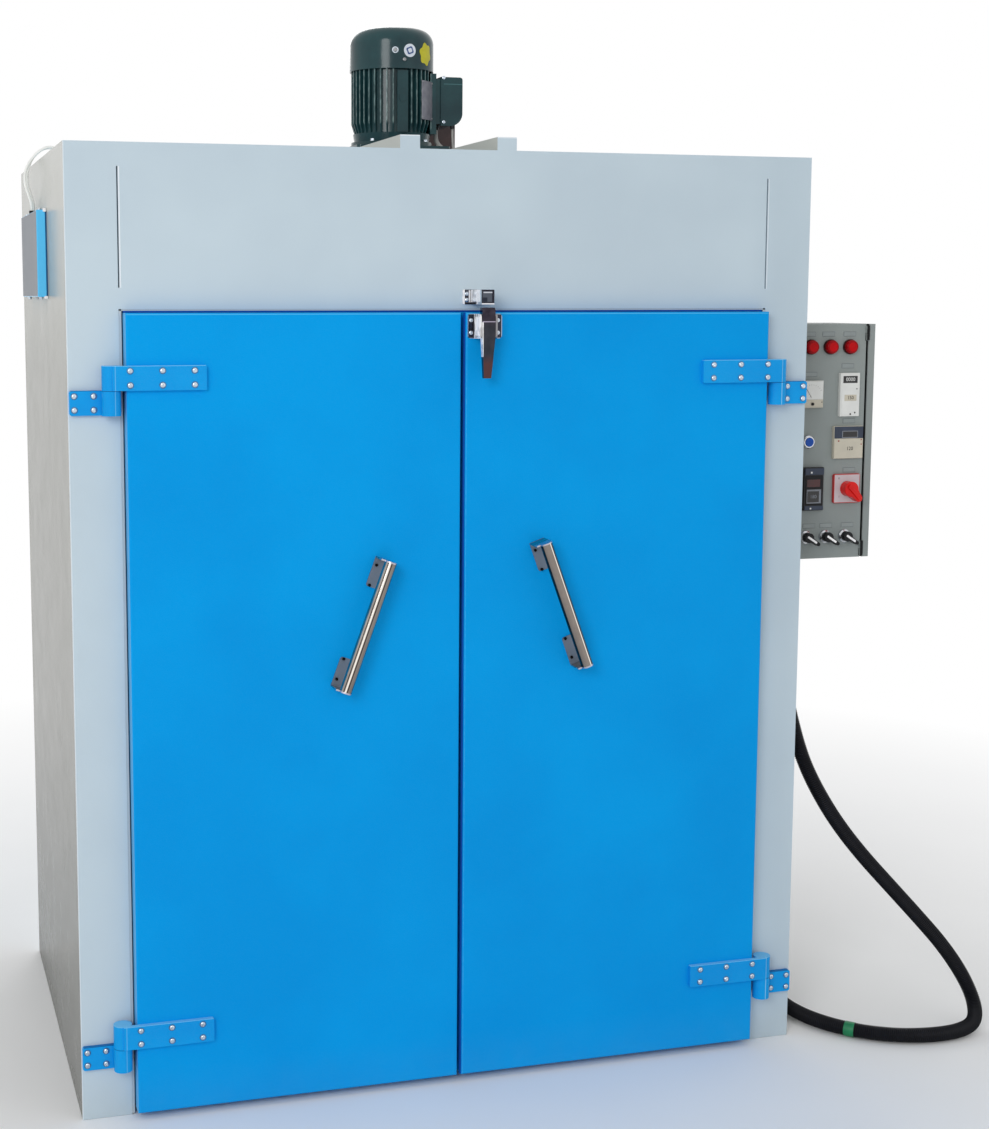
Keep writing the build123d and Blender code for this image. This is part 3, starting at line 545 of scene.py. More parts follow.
# painted reflections on the keeper's chrome: dark and grey patches, a pale bar, white below the
# hood, and dark frame lines
keeperReflections = (
    strip((26, 26, 40), 0.97, x=(0.024, 0.052), y=(None, -0.5505)),
    strip((92, 98, 108), 0.8, 0.001, x=(0.0262, 0.0455), y=(None, -0.5505), z=(1.6035, 1.624)),
    strip((30, 34, 46), 0.8, 0.002, x=(0.0262, 0.036), y=(None, -0.5505), z=(1.6035, 1.612)),
    strip((206, 208, 216), 0.9, x=(0.028, 0.046), y=(None, -0.5505), z=(1.6205, 1.6228)),
    strip((240, 240, 244), 0.9, x=(0.0245, 0.051), y=(None, -0.549), z=(None, 1.6008)),
    strip((40, 42, 58), 0.85, x=(0.0124, 0.0262), y=(-0.4852, -0.4838)),
    strip((20, 20, 30), 0.9, x=(0.0124, 0.014), y=(-0.4852, -0.4838), z=(1.5995, None)),
    strip((20, 20, 30), 0.9, x=(0.0124, 0.0262), y=(-0.4852, -0.4838), z=(None, 1.6014)),
    strip((24, 24, 36), 0.8, x=(0.0124, 0.0238), y=(-0.4852, -0.4838), z=(1.612, 1.6142)))
# painted highlights along the hinge barrels and top edges, and painted shade along their bottom
# edges
hingeHighlightsAndShade = (
    strip((170, 228, 252), 0.7, 0.0006, x=(0.6925, 0.694), y=(None, -0.517)),
    strip((140, 212, 246), 0.45, 0.0006, x=(-0.6865, -0.685), y=(None, -0.517)),
    strip((140, 212, 246), 0.6, z=(1.484, 1.4856)),
    strip((140, 212, 246), 0.6, z=(0.198, 0.1996)),
    strip((0, 84, 150), 0.7, z=(1.4368, 1.4382)),
    strip((0, 84, 150), 0.7, z=(0.1508, 0.1522)))
# painted reflection: the cover's outer face grey as seen at a grazing angle; painted shade: a dark
# strip where its front meets the wall
coverReflectionAndShade = (
    strip((154, 158, 164), 1.0, 0.0003, 0.4, x=(None, -0.7906)),
    strip((10, 52, 104), 0.9, 0.0006, x=(-0.7732, None), y=(None, -0.134)))
# painted shade: near black on the walls of the gap at the control door's hinge side
boxGapShade = (
    strip((20, 22, 24), 1.0, 0.0003, 0.2, x=(0.9995, 1.0065), y=(-0.338, -0.3), z=(1.5185, None)),
    strip((20, 22, 24), 1.0, 0.0003, 0.2, x=(0.9995, 1.0065), y=(-0.338, -0.3), z=(None, 1.0705)),
    strip((26, 28, 30), 1.0, 0.0006, 0.2, x=(0.9995, 1.0065), y=(-0.327, -0.3)))
motorMarks = (finCrestWearAndHighlight, fanGrilleShade,
              # painted highlight along the edge of the terminal box lid
              strip((78, 124, 128), 0.7, x=(0.106, None), z=(2.0762, 2.0778)))
# painted shade: the chamber floor and the foot of its back wall darker
innerCornerShade = (
    strip((120, 119, 116), 0.7, 0.004, 0.15, y=(-0.422, 0.388), z=(None, 0.006)),
    strip((70, 70, 70), 0.6, 0.004, y=(0.384, None), z=(None, 0.014)))
# painted highlights: white boxes on the keeper, its hood and the lever's cheek ribs
keeperGlints = (
    ((None, -0.4852, None), (0.0122, None, None)),
    ((0.0206, -0.4852, 1.603), (0.024, -0.4838, 1.626)),
    ((0.0238, -0.544, 1.604), (0.0252, -0.487, 1.627)),
    ((0.018, -0.56, 1.53), (0.0215, -0.519, 1.58)))
paintLooks = {  # colour, shade, and what differs from paint()
    "cabinetPaint": ((198, 214, 223), (191, 207, 217), dict(rough=0.34, specular=0.02, speckle=0.04,
        coat=0.1, coatRough=0.12, marks=cabinetMarks)),
    "jambPaint": ((186, 196, 202), (176, 188, 194), dict(rough=0.4, specular=0.1, speckle=0.03)),
    "doorPaint": ((0, 160, 235), (0, 152, 228), dict(rough=0.34, specular=0.03, speckle=0.008,
        marks=(edgeDust, doorFolds))),
    # painted shade: navy for the strips in the door gaps
    "navyGapShade": ((0, 78, 168), (0, 68, 156), dict(rough=0.4, specular=0.05, speckle=0.01)),
    "hingePaint": ((4, 160, 234), (0, 151, 228), dict(rough=0.3, specular=0.03, speckle=0.012,
        mottle=9.0, peelScale=180.0, peel=0.14, coat=0.16, coatRough=0.14, marks=hingeHighlightsAndShade)),
    "coverPaint": ((108, 208, 255), (90, 200, 255), dict(rough=0.16, specular=0.04, speckle=0.01,
        coat=0.05, marks=coverReflectionAndShade)),
    "boxPaint": ((141, 149, 147), (133, 141, 140), dict(rough=0.5, specular=0.2, speckle=0.1,
        peelScale=700.0, peel=0.22, marks=boxGapShade)),
    "motorPaint": ((26, 66, 70), (14, 50, 56), dict(rough=0.2, specular=0.25, speckle=0.008,
        mottle=14.0, peelScale=150.0, peel=0.12, coat=0.1, marks=motorMarks)),
    "ductPaint": ((78, 58, 56), (54, 42, 44), dict(rough=0.5, specular=0.3, speckle=0.02,
        mottle=12.0, marks=(strip((196, 150, 156), 0.7, z=(None, 1.9046)),))),
}
metalLooks = {  # colour, shade, and what differs from metal()
    "innerSheet": ((186, 186, 182), (160, 160, 156), dict(rough=0.32, grain=(1, 1, 14),
        grainScale=120.0, clouds=4.0, marks=innerCornerShade)),
    "gripSteel": ((176, 170, 162), (146, 140, 134), dict(rough=0.15, grain=(6, 6, 60),
        grainScale=50.0, clouds=30.0, marks=(gripBarReflections,))),
    # painted reflection: the latch base and lever chrome are coloured dark, and the keeper light,
    # for what each mirrors
    "baseChrome": ((66, 68, 80), (44, 46, 56), dict(rough=0.12, clouds=90.0, scratch=0.02,
        marks=baseReflections, glints=(((0.0185, -0.56, None), (0.0235, -0.5195, None)),))),
    "leverChrome": ((72, 66, 76), (40, 36, 44), dict(rough=0.1, clouds=70.0, scratch=0.02,
        marks=leverReflections, glints=(((None, None, 1.4967), (0.0266, -0.545, 1.564)),))),
    "keeperChrome": ((232, 234, 238), (176, 178, 186), dict(rough=0.1, clouds=90.0, scratch=0.02,
        marks=keeperReflections, glints=keeperGlints)),
    "bezelSilver": ((216, 218, 222), (186, 188, 194), dict(rough=0.24, clouds=120.0)),
    "screwZinc": ((214, 222, 230), (176, 186, 198), dict(rough=0.22, grainScale=500.0,
        clouds=240.0)),
    "washerDark": ((92, 138, 176), (60, 104, 150), dict(rough=0.32, grainScale=500.0,
        clouds=240.0)),
    "screwDark": ((46, 44, 44), (32, 30, 30), dict(rough=0.3, grainScale=500.0, clouds=240.0)),
    "plateSilver": ((150, 150, 158), (122, 122, 132), dict(rough=0.42, grain=(1, 1, 30),
        grainScale=160.0, clouds=60.0)),
    "fittingMetal": ((160, 162, 164), (130, 132, 134), dict(rough=0.35)),
}
plasticLooks = {  # colour, shade, and what differs from plastic()
    "sealRubber": ((52, 50, 50), (40, 38, 38), dict(rough=0.75)),
    "lampRed": ((206, 4, 16), (184, 0, 10), dict(rough=0.2, specular=0.1, grain=0.02, coat=0.04,
        marks=(lampRimShade, strip((86, 10, 16), y=(-0.3372, None))))),
    "lampRim": ((78, 12, 18), (58, 8, 14), dict(rough=0.35, specular=0.2)),
    "instrumentCase": ((222, 223, 220), (212, 213, 208), dict(rough=0.45, marks=caseMarks)),
    "whiteCase": ((232, 233, 230), (222, 223, 220), dict(rough=0.42)),
    "pointerWhite": ((252, 252, 252), (244, 244, 246), dict(rough=0.5, specular=0.2)),
    "beigeCase": ((206, 199, 182), (196, 190, 174), dict(rough=0.45)),
    "blackPlastic": ((18, 19, 22), (26, 27, 30), dict(rough=0.4, specular=0.2)),
    "darkWindow": ((14, 14, 18), (22, 20, 24), dict(rough=0.1, specular=0.6, grain=0.01)),
    "redWindow": ((78, 8, 14), (56, 4, 8), dict(rough=0.1, specular=0.6, grain=0.01)),
    "navyPrint": ((52, 62, 82), (42, 52, 70), dict(rough=0.4)),
    "greyFrame": ((134, 138, 146), (120, 124, 132), dict(rough=0.4)),
    "labelLine": ((84, 90, 94), (96, 102, 106), dict(rough=0.5)),
    "bareLabel": ((146, 154, 154), (138, 146, 146), dict(rough=0.45)),
    "ledRed": ((168, 44, 40), (148, 34, 30), dict(rough=0.25)),
    "buttonBlue": ((30, 92, 190), (20, 76, 170), dict(rough=0.22, specular=0.2, coat=0.1)),
    "switchWhite": ((204, 194, 198), (194, 184, 188), dict(rough=0.4, marks=plateMarks)),
    "handleRed": ((228, 26, 20), (208, 16, 14), dict(rough=0.26, specular=0.2, coat=0.1)),
    "leadGrey": ((168, 166, 162), (150, 148, 144), dict(rough=0.5)),
    "fibreSleeve": ((252, 252, 248), (236, 238, 234), dict(rough=0.85, specular=0.15,
        grainScale=900.0, grain=0.5)),
    "hoseBlack": ((13, 14, 19), (20, 21, 27), dict(rough=0.5, specular=0.15)),
    "tapeGreen": ((20, 132, 84), (14, 112, 70), dict(rough=0.35)),
    "stickerWhite": ((224, 230, 238), (214, 220, 230), dict(rough=0.4)),
    "stickerBlue": ((50, 82, 140), (40, 70, 124), dict(rough=0.4)),
    "stickerYellow": ((206, 198, 34), (188, 180, 24), dict(rough=0.45)),
}
for kind, table in ((paint, paintLooks), (metal, metalLooks), (plastic, plasticLooks)):
    for name, (colour, shade, settings) in table.items():
        kind(newLook(name), tone(*colour), tone(*shade), **settings)
print("materials made:", len(looks))

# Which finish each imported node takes
finishes = {
    "cabinetPaint": ("left_stile", "right_stile", "header", "left_wall", "right_wall",
                     "back_wall", "roof_panel", "roof_rails"),
    "doorPaint": ("left_door_panel", "right_door_panel"),
    "hingePaint": ("left_hinge_straps", "right_hinge_straps", "hinge_leaves"),
    "innerSheet": ("left_door_plug", "right_door_plug", "chamber_liner", "door_stops",
                   "floor_plate"),
    "sealRubber": ("door_gaskets",),
    "gripSteel": ("left_door_grip", "right_door_grip"),
    "bezelSilver": ("control_bezels",),
    "baseChrome": ("latch_base",),
    "leverChrome": ("latch_lever",),
    "keeperChrome": ("latch_keeper",),
    "motorPaint": ("motor_frame", "motor_cowl", "terminal_box", "motor_plate"),
    "ductPaint": ("exhaust_stub",),
    "coverPaint": ("heater_cover",),
    "boxPaint": ("control_box", "control_door"),
    "lampRed": ("indicator_lamps",),
    "instrumentCase": ("panel_instruments",),
    "buttonBlue": ("push_button",),
    "switchWhite": ("switch_plate",),
    "handleRed": ("main_switch",),
    "blackPlastic": ("left_selector", "middle_selector", "right_selector", "cable_glands"),
    "fittingMetal": ("hose_fittings",),
}
for lookName, nodeNames in finishes.items():
    for nodeName in nodeNames:
        materials = nodes[nodeName].data.materials
        materials.clear()
        materials.append(looks[lookName])

# Cords: the same route points as the solids, in metres
cordRoutes = {
    "motorLead": {
        "node": "motor_lead", "diameter": 0.010, "length": 0.089, "stiffness": "stiff",
        "slot": "lead_sheath", "look": "leadGrey", "points": [
            (0.100, -0.006, 1.981), (0.100, -0.006, 1.968), (0.102, -0.006, 1.956),
            (0.109, -0.007, 1.946), (0.120, -0.008, 1.939), (0.132, -0.009, 1.934),
            (0.142, -0.009, 1.924), (0.142, -0.009, 1.912)]},
    "motorWire": {
        "node": "motor_wire", "diameter": 0.005, "length": 0.069, "stiffness": "medium",
        "slot": "lead_sheath", "look": "leadGrey", "points": [
            (0.128, -0.042, 1.981), (0.128, -0.042, 1.964), (0.129, -0.042, 1.946),
            (0.131, -0.041, 1.929), (0.131, -0.041, 1.912)]},
    "heaterWireFront": {
        "node": "heater_wire_front", "diameter": 0.006, "length": 0.205, "stiffness": "medium",
        "slot": "sleeve_fibre", "look": "fibreSleeve", "points": [
            (-0.784, 0.040, 1.795), (-0.784, 0.040, 1.808), (-0.790, 0.043, 1.828),
            (-0.797, 0.047, 1.850), (-0.797, 0.050, 1.872), (-0.789, 0.052, 1.893),
            (-0.775, 0.053, 1.912), (-0.758, 0.053, 1.926), (-0.742, 0.052, 1.931),
            (-0.727, 0.051, 1.926), (-0.717, 0.050, 1.916), (-0.717, 0.050, 1.904)]},
    "heaterWireRear": {
        "node": "heater_wire_rear", "diameter": 0.006, "length": 0.203, "stiffness": "medium",
        "slot": "sleeve_fibre", "look": "fibreSleeve", "points": [
            (-0.777, 0.076, 1.795), (-0.777, 0.076, 1.810), (-0.783, 0.079, 1.830),
            (-0.789, 0.083, 1.851), (-0.790, 0.086, 1.873), (-0.784, 0.088, 1.894),
            (-0.774, 0.089, 1.913), (-0.758, 0.088, 1.927), (-0.741, 0.086, 1.932),
            (-0.727, 0.084, 1.927), (-0.717, 0.082, 1.917), (-0.717, 0.082, 1.904)]},
}
hose = {
    "diameter": 0.032, "length": 1.817, "pitch": 0.0042, "depth": 0.0016, "sides": 20,
    "tapeFrom": 1.478, "tapeLength": 0.022, "points": [
        (0.815, -0.290, 1.012), (0.815, -0.290, 0.952), (0.812, -0.304, 0.884),
        (0.806, -0.334, 0.812), (0.801, -0.376, 0.742), (0.801, -0.416, 0.672),
        (0.811, -0.446, 0.604), (0.838, -0.468, 0.537), (0.882, -0.478, 0.466),
        (0.940, -0.484, 0.394), (1.007, -0.488, 0.322), (1.076, -0.492, 0.248),
        (1.140, -0.500, 0.176), (1.186, -0.514, 0.106), (1.200, -0.542, 0.052),
        (1.178, -0.580, 0.023), (1.124, -0.602, 0.017), (1.052, -0.604, 0.017),
        (0.980, -0.586, 0.017), (0.914, -0.546, 0.017), (0.862, -0.486, 0.017),
        (0.830, -0.414, 0.018), (0.818, -0.342, 0.024), (0.816, -0.272, 0.034),
        (0.816, -0.222, 0.034)],
}


def routeCurve(name, points, resolution=16):
    data = bpy.data.curves.new(name, "CURVE")
    data.dimensions = "3D"
    spline = data.splines.new("NURBS")
    spline.points.add(len(points) - 1)
    for point, place in zip(spline.points, points):
        point.co = (*place, 1)
    spline.order_u = 3  # after the points, or the runs stay straight
    spline.use_endpoint_u = True
    data.resolution_u = resolution
    curve = bpy.data.objects.new(name, data)
    scene.collection.objects.link(curve)
    return curve


for name, made in cordRoutes.items():
    curve = routeCurve(name, made["points"])
    curve.data.bevel_depth = made["diameter"] / 2
    curve.data.bevel_resolution = 5
    curve.data.use_fill_caps = True
    curve.data.materials.append(looks[made["look"]])
    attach(curve, "cabinet")
    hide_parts(made["node"])


def walk(points, step):
    # even steps along a dense line, and the line's length
    places, gone, target = [], 0.0, 0.0
    for first, second in zip(points, points[1:]):
        run = (second - first).length
        while target <= gone + run:
            places.append(first.lerp(second, (target - gone) / run))
            target += step
        gone += run
    return places, gone


def tube(name, path, radii, sides, look, angle):
    # rings square to the path, each turned on from the last so that the tube doesn't twist
    mesh = bmesh.new()
    side = Vector((0, 1, 0))
    rings = []
    for index, place in enumerate(path):
        ahead = (path[min(index + 1, len(path) - 1)] - path[max(index - 1, 0)]).normalized()
        side = (side - ahead * side.dot(ahead)).normalized()
        across = ahead.cross(side)
        turns = [2 * math.pi * step / sides for step in range(sides)]
        rings.append([mesh.verts.new(place + radii[index] * (side * math.cos(turn)
                                                             + across * math.sin(turn)))
                      for turn in turns])
    for first, second in zip(rings, rings[1:]):
        for step in range(sides):
            after = (step + 1) % sides
            mesh.faces.new((first[step], first[after], second[after], second[step]))
    mesh.faces.new(list(reversed(rings[0])))
    mesh.faces.new(rings[-1])
    bmesh.ops.recalc_face_normals(mesh, faces=mesh.faces)
    data = bpy.data.meshes.new(name)
    mesh.to_mesh(data)
    mesh.free()
    piece = bpy.data.objects.new(name, data)
    scene.collection.objects.link(piece)
    data.materials.append(looks[look])
    smoothPiece(piece, angle)
    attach(piece, "cabinet")
    return piece


hoseLine = routeCurve("hoseLine", hose["points"], 64)
bpy.context.view_layer.update()
lineMesh = bpy.data.meshes.new_from_object(
    hoseLine.evaluated_get(bpy.context.evaluated_depsgraph_get()))
hosePath, hoseRun = walk([vertex.co.copy() for vertex in lineMesh.vertices], hose["pitch"] / 4)
bpy.data.meshes.remove(lineMesh)
bpy.data.objects.remove(hoseLine)
ribs = (0.0, 0.75, 1.0, 0.25)  # crest, falling side, groove, rising side
hoseRadii = [hose["diameter"] / 2 - hose["depth"] * ribs[index % 4]
             for index in range(len(hosePath))]
hosePiece = tube("hose", hosePath, hoseRadii, hose["sides"], "hoseBlack", 60)
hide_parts("supply_hose")
tapePath = [place for index, place in enumerate(hosePath)
            if 0 <= index * hose["pitch"] / 4 - hose["tapeFrom"] <= hose["tapeLength"]]
tape = tube("hoseTape", tapePath, [hose["diameter"] / 2 + 0.0004] * len(tapePath), 28,
            "tapeGreen", 40)
print("cords made, hose line", round(hoseRun, 3), "m")

# Floor, lamps and world
studio = {
    "floorSize": 30.0,
    "floor": tone(246, 247, 248), "floorShade": tone(243, 244, 245),
    "sky": 0.64,
    "lamps": [
        {"place": (-3.0, -4.8, 3.0), "aim": (0.0, -0.4, 1.0), "size": 2.2, "power": 86},
        {"place": (3.4, -4.4, 2.6), "aim": (0.2, -0.4, 0.9), "size": 2.6, "power": 4},
        {"place": (0.0, 3.4, 3.6), "aim": (0.0, 0.0, 1.2), "size": 2.4, "power": 40},
    ],
}


def shownRays(tree):
    # 1 for the rays that see the pale background: straight, mirrored or through glass
    paths = tree.nodes.new("ShaderNodeLightPath").outputs
    shown = Flow(tree, paths["Is Camera Ray"])
    for kind in ("Glossy", "Transmission"):
        shown = shown.maths("MAXIMUM", shown, Flow(tree, paths["Is " + kind + " Ray"]))
    return shown


deselect()
bpy.ops.mesh.primitive_circle_add(vertices=64, radius=studio["floorSize"], fill_type="NGON",
                                  location=(0, 0, -0.0005))
floor = bpy.context.object
floor.name = "studioFloor"
floorPlace = newLook("floorLook")
dress(floorPlace, floorPlace.noise(2.0, 2.0).ramp((0.3, studio["floor"]),
                                                  (0.7, studio["floorShade"])),
      0.9, {"Specular IOR Level": 0.1})
floorTree = floorPlace.tree
away = floorPlace.fromAxis().above(2.3, 2.2)
glow = floorPlace.make("Emission", {"Color": (1, 1, 1, 1), "Strength": 1.0})
plain = Flow(floorTree, floorTree.nodes["Principled BSDF"].outputs[0])
blend = floorPlace.make("MixShader", {0: away * shownRays(floorTree), 1: plain, 2: glow})
floorTree.links.new(blend.socket, floorTree.nodes["Material Output"].inputs["Surface"])
floor.data.materials.append(looks["floorLook"])
world = bpy.data.worlds.new("studioWorld")
scene.world = world
world.use_nodes = True
background = world.node_tree.nodes["Background"]
background.inputs["Color"].default_value = (1, 1, 1, 1)
strength = shownRays(world.node_tree) * (1 - studio["sky"]) + studio["sky"]
world.node_tree.links.new(strength.socket, background.inputs["Strength"])
for index, lamp in enumerate(studio["lamps"]):
    data = bpy.data.lights.new("studioLamp" + str(index), "AREA")
    data.energy = lamp["power"]
    data.shape = "DISK"
    data.size = lamp["size"]
    holder = bpy.data.objects.new("studioLamp" + str(index), data)
    holder.location = lamp["place"]
    aim = Vector(lamp["aim"]) - Vector(lamp["place"])
    holder.rotation_euler = aim.to_track_quat("-Z", "Y").to_euler()
    scene.collection.objects.link(holder)
print("studio ready")

# Fasteners: each kind is modelled once and copied
screwKinds = {
    "hinge": {"radius": 0.0052, "height": 0.0032, "cross": 0.0018},
    "latch": {"radius": 0.0042, "height": 0.0026, "cross": 0.0012},
    "cowl": {"radius": 0.0046, "height": 0.0030, "cross": 0.0014},
    "case": {"radius": 0.0022, "height": 0.0012, "cross": 0.0007},
    "sheet": {"radius": 0.0045, "height": 0.0024, "cross": 0.0012},
    "washer": {"radius": 0.0066, "height": 0.0009, "bore": 0.0030},
    "cowlWasher": {"radius": 0.0070, "height": 0.0009, "bore": 0.0026},
    "socket": {"radius": 0.0031, "height": 0.0026, "key": 0.0016},
    "bolt": {"radius": 0.0042, "height": 0.0046},
}


def panScrew(radius, height, cross):
    head = disc(radius, height * 0.5)
    pickTop(head)
    for rise, size in ((0.32, 0.86), (0.18, 0.62)):
        bpy.ops.mesh.extrude_region_move(
            TRANSFORM_OT_translate={"value": (0, 0, height * rise)})
        bpy.ops.transform.resize(value=(size, size, 1))
    leaveEdit()
    arm, half, deep, top = radius * 0.55, cross / 2, height * 0.45, height * 2
    cut(head, block((-arm, -half, deep), (arm, half, top)),
        block((-half, -arm, deep), (half, arm, top)))
    smoothPiece(head, 50)
    return head


def flatRing(radius, height, bore):
    ring = cut(disc(radius, height, 28), disc(bore, height * 3, 20))
    bevelEdges(ring, height * 0.3, 1)
    smoothPiece(ring)
    return ring


def socketScrew(radius, height, key):
    head = cut(disc(radius, height, 20),
               block((-key, -key, height * 0.5), (key, key, height * 2)))
    bevelEdges(head, height * 0.12, 1)
    smoothPiece(head)
    return head


def hexBolt(radius, height):
    washer = disc(radius * 1.25, height * 0.2, 28)
    head = disc(radius, height, 6)
    pickTop(head)
    bpy.ops.mesh.inset(thickness=radius * 0.16)
    bpy.ops.transform.translate(value=(0, 0, height * 0.12))
    leaveEdit()
    bevelEdges(head, radius * 0.05, 1)
    return joined([head, washer])


makers = {"washer": flatRing, "cowlWasher": flatRing, "socket": socketScrew, "bolt": hexBolt}
masters = {kind: makers.get(kind, panScrew)(**sizes) for kind, sizes in screwKinds.items()}
front = (0, -1, 0)


def fasten(kind, places, name, body="cabinet", look="screwZinc"):
    spread(masters[kind], places, name, body, look)


hinges = {
    "levels": (0.152, 1.438),
    "strapScrews": [(0.536, 0.0105), (0.597, 0.0105), (0.658, 0.0105),
                    (0.536, 0.0375), (0.597, 0.0375), (0.658, 0.0375)],
    "leafScrews": [(0.7225, -0.0105), (0.7590, -0.0105), (0.7225, -0.0365), (0.7590, -0.0365)],
    "strapFace": -0.525, "leafFace": -0.490,
}
doors = {-1: "left_door", 1: "right_door"}
for side, body in doors.items():
    places = [((side * x, hinges["strapFace"], level + z), front)
              for level in hinges["levels"] for x, z in hinges["strapScrews"]]
    fasten("hinge", places, body + "StrapScrews", body)
    fasten("washer", places, body + "StrapWashers", body, "washerDark")
    lean = Matrix.Rotation(math.radians(grips["lean"] * -side), 4, "Y")
    centre = Vector((side * grips["out"], grips["screwFace"], grips["heights"][side]))
    places = [(centre + lean @ Vector((grips["across"], 0, end * along)), front)
              for end in (-1, 1) for along in grips["along"]]
    fasten("socket", places, body + "GripScrews", body, "screwDark")
places = [((side * x, hinges["leafFace"], level + z), front)
          for side in doors for level in hinges["levels"] for x, z in hinges["leafScrews"]]
fasten("hinge", places, "leafScrews")
fasten("washer", places, "leafWashers", look="washerDark")

latch = {"baseScrews": [(0.0140, 1.5675), (0.0700, 1.5675), (0.0140, 1.5430), (0.0700, 1.5430)],
         "baseFace": -0.518, "keeperScrews": [(0.0162, 1.6190), (0.0162, 1.6072)],
         "keeperFace": -0.484,
         "ribs": (-0.5520, -0.5440, -0.5360, -0.5280), "ribLow": 1.5375, "ribHigh": 1.5745}
fasten("latch", [((x, latch["baseFace"], z), front) for x, z in latch["baseScrews"]],
       "latchBaseScrews", "right_door")
fasten("latch", [((x, latch["keeperFace"], z), front) for x, z in latch["keeperScrews"]],
       "keeperScrews")
boxPiece("latchCheekRibs", "right_door", "keeperChrome", "chrome_plate",
         [((0.0190, y - 0.0016, latch["ribLow"]), (0.0205, y + 0.0016, latch["ribHigh"]))
          for y in latch["ribs"]], 0.0006, 2)

# Fasteners where the heater cover meets the wall
cover = {"bolts": [((-0.7800, -0.100, 1.7890), (0, 0, 1)), ((-0.7800, 0.205, 1.7890), (0, 0, 1)),
                   ((-0.7800, -0.090, 1.6130), (0, 0, -1)),
                   ((-0.7800, 0.190, 1.6130), (0, 0, -1))],
         "clips": [((-0.7775, -0.1400, 1.7850), (-0.7702, -0.1345, 1.7925)),
                   ((-0.7775, -0.1400, 1.6090), (-0.7702, -0.1345, 1.6150))]}
fasten("bolt", cover["bolts"], "coverBolts")
boxPiece("coverClips", "cabinet", "keeperChrome", "chrome_plate", cover["clips"], 0.0015, 2)

# Bolts, screws and labels of the motor, by angle round its axis
motor = {
    "boltCircle": 0.0850, "boltAngles": (45, 135, 225, 315), "flangeTop": 1.950,
    "cowlRadius": 0.0920, "cowlAngles": (-101.0, 19.0, 139.0), "cowlHeight": 2.1404,
    "smallScrew": (-88.5, 2.1207), "lidScrews": [(0.1053, -0.0480, 2.0900),
                                                 (0.1053, -0.0480, 1.9946)],
    "labels": {  # radius, lobes, bulge, squeeze, angle, height, look, lift
        "cowlRoundLabel": (0.0140, 1, 0.0, 1.0, -80.4, 2.1402, "stickerWhite", 0.00025),
        "cowlRoundMark": (0.0080, 4, 0.12, 1.0, -80.4, 2.1402, "stickerBlue", 0.0006),
        "cowlRoundHole": (0.0048, 4, 0.10, 1.0, -80.4, 2.1402, "stickerWhite", 0.0009),
        "cowlFlowerLabel": (0.0225, 6, 0.10, 0.82, -52.4, 2.1355, "stickerYellow", 0.00025)},
    "plate": {"angle": -45.0, "out": 0.0895, "half": 0.025, "thick": 0.0008, "low": 1.997,
              "high": 2.080, "pinsAcross": (-0.021, 0.021), "pinsUp": (2.001, 2.076),
              "pinsOut": 0.0899},
}


def around(angle, radius, z):
    # a place round the motor's axis and its outward direction
    turn = math.radians(angle)
    outward = Vector((math.cos(turn), math.sin(turn), 0))
    return outward * radius + Vector((0, 0, z)), outward


fasten("bolt", [(around(angle, motor["boltCircle"], motor["flangeTop"])[0], (0, 0, 1))
                for angle in motor["boltAngles"]], "motorFootBolts")
places = [around(angle, motor["cowlRadius"], motor["cowlHeight"])
          for angle in motor["cowlAngles"]]
fasten("cowlWasher", places, "cowlWashers")
fasten("cowl", places, "cowlScrews", look="fittingMetal")
angle, height = motor["smallScrew"]
fasten("latch", [around(angle, motor["cowlRadius"], height)], "cowlSmallScrew",
       look="fittingMetal")
fasten("latch", [(place, front) for place in motor["lidScrews"]], "lidScrews")


def curvedLabel(name, radius, lobes, bulge, squeeze, angle, height, look, lift):
    # a thin label bent round the cowl; lobes give its outline a flower shape
    deselect()
    bpy.ops.mesh.primitive_circle_add(vertices=48, radius=radius, fill_type="TRIFAN")
    piece = bpy.context.object
    enterEdit(piece)
    bpy.ops.mesh.subdivide(number_cuts=2)
    leaveEdit()
    for vertex in piece.data.vertices:
        grow = 1 + bulge * math.cos(lobes * math.atan2(vertex.co.y, vertex.co.x) + math.pi / 2)
        across, up = vertex.co.x * grow * squeeze, vertex.co.y * grow
        spot = math.radians(angle) + across / motor["cowlRadius"]
        out = motor["cowlRadius"] + lift
        vertex.co = (out * math.cos(spot), out * math.sin(spot), height + up)
    enterEdit(piece)
    bpy.ops.mesh.normals_make_consistent(inside=False)
    leaveEdit()
    thick = piece.modifiers.new("sheet", "SOLIDIFY")
    thick.thickness = 0.0004
    thick.offset = 0
    applyAll(piece)
    smoothPiece(piece)
    settle(piece, name, "cabinet", look)


for name, label in motor["labels"].items():
    curvedLabel(name, *label)
made = motor["plate"]
plate = block((-made["half"], -made["thick"], made["low"]), (made["half"], 0.0, made["high"]),
              0.0003)
middle, outward = around(made["angle"], made["out"], plate.location.z)
turnOut = Matrix.Rotation(math.radians(made["angle"] + 90), 4, "Z")
plate.rotation_euler = (0, 0, math.radians(made["angle"] + 90))
plate.location = middle
settle(plate, "motorPlateBare", "cabinet", "plateSilver")
fasten("case", [(turnOut @ Vector((across, -made["pinsOut"], z)), outward)
                for across in made["pinsAcross"] for z in made["pinsUp"]], "motorPlatePins",
       look="fittingMetal")
print("screws, bolts and motor labels set")

# Screws along the seams of the roof
roofScrews = {"across": 0.668, "roof": 1.900, "from": -0.36, "pitch": 0.24, "count": 4}
fasten("sheet", [((side * roofScrews["across"], roofScrews["from"] + roofScrews["pitch"] * step,
                   roofScrews["roof"]), (0, 0, 1))
                 for side in (-1, 1) for step in range(roofScrews["count"])], "sheetScrews")

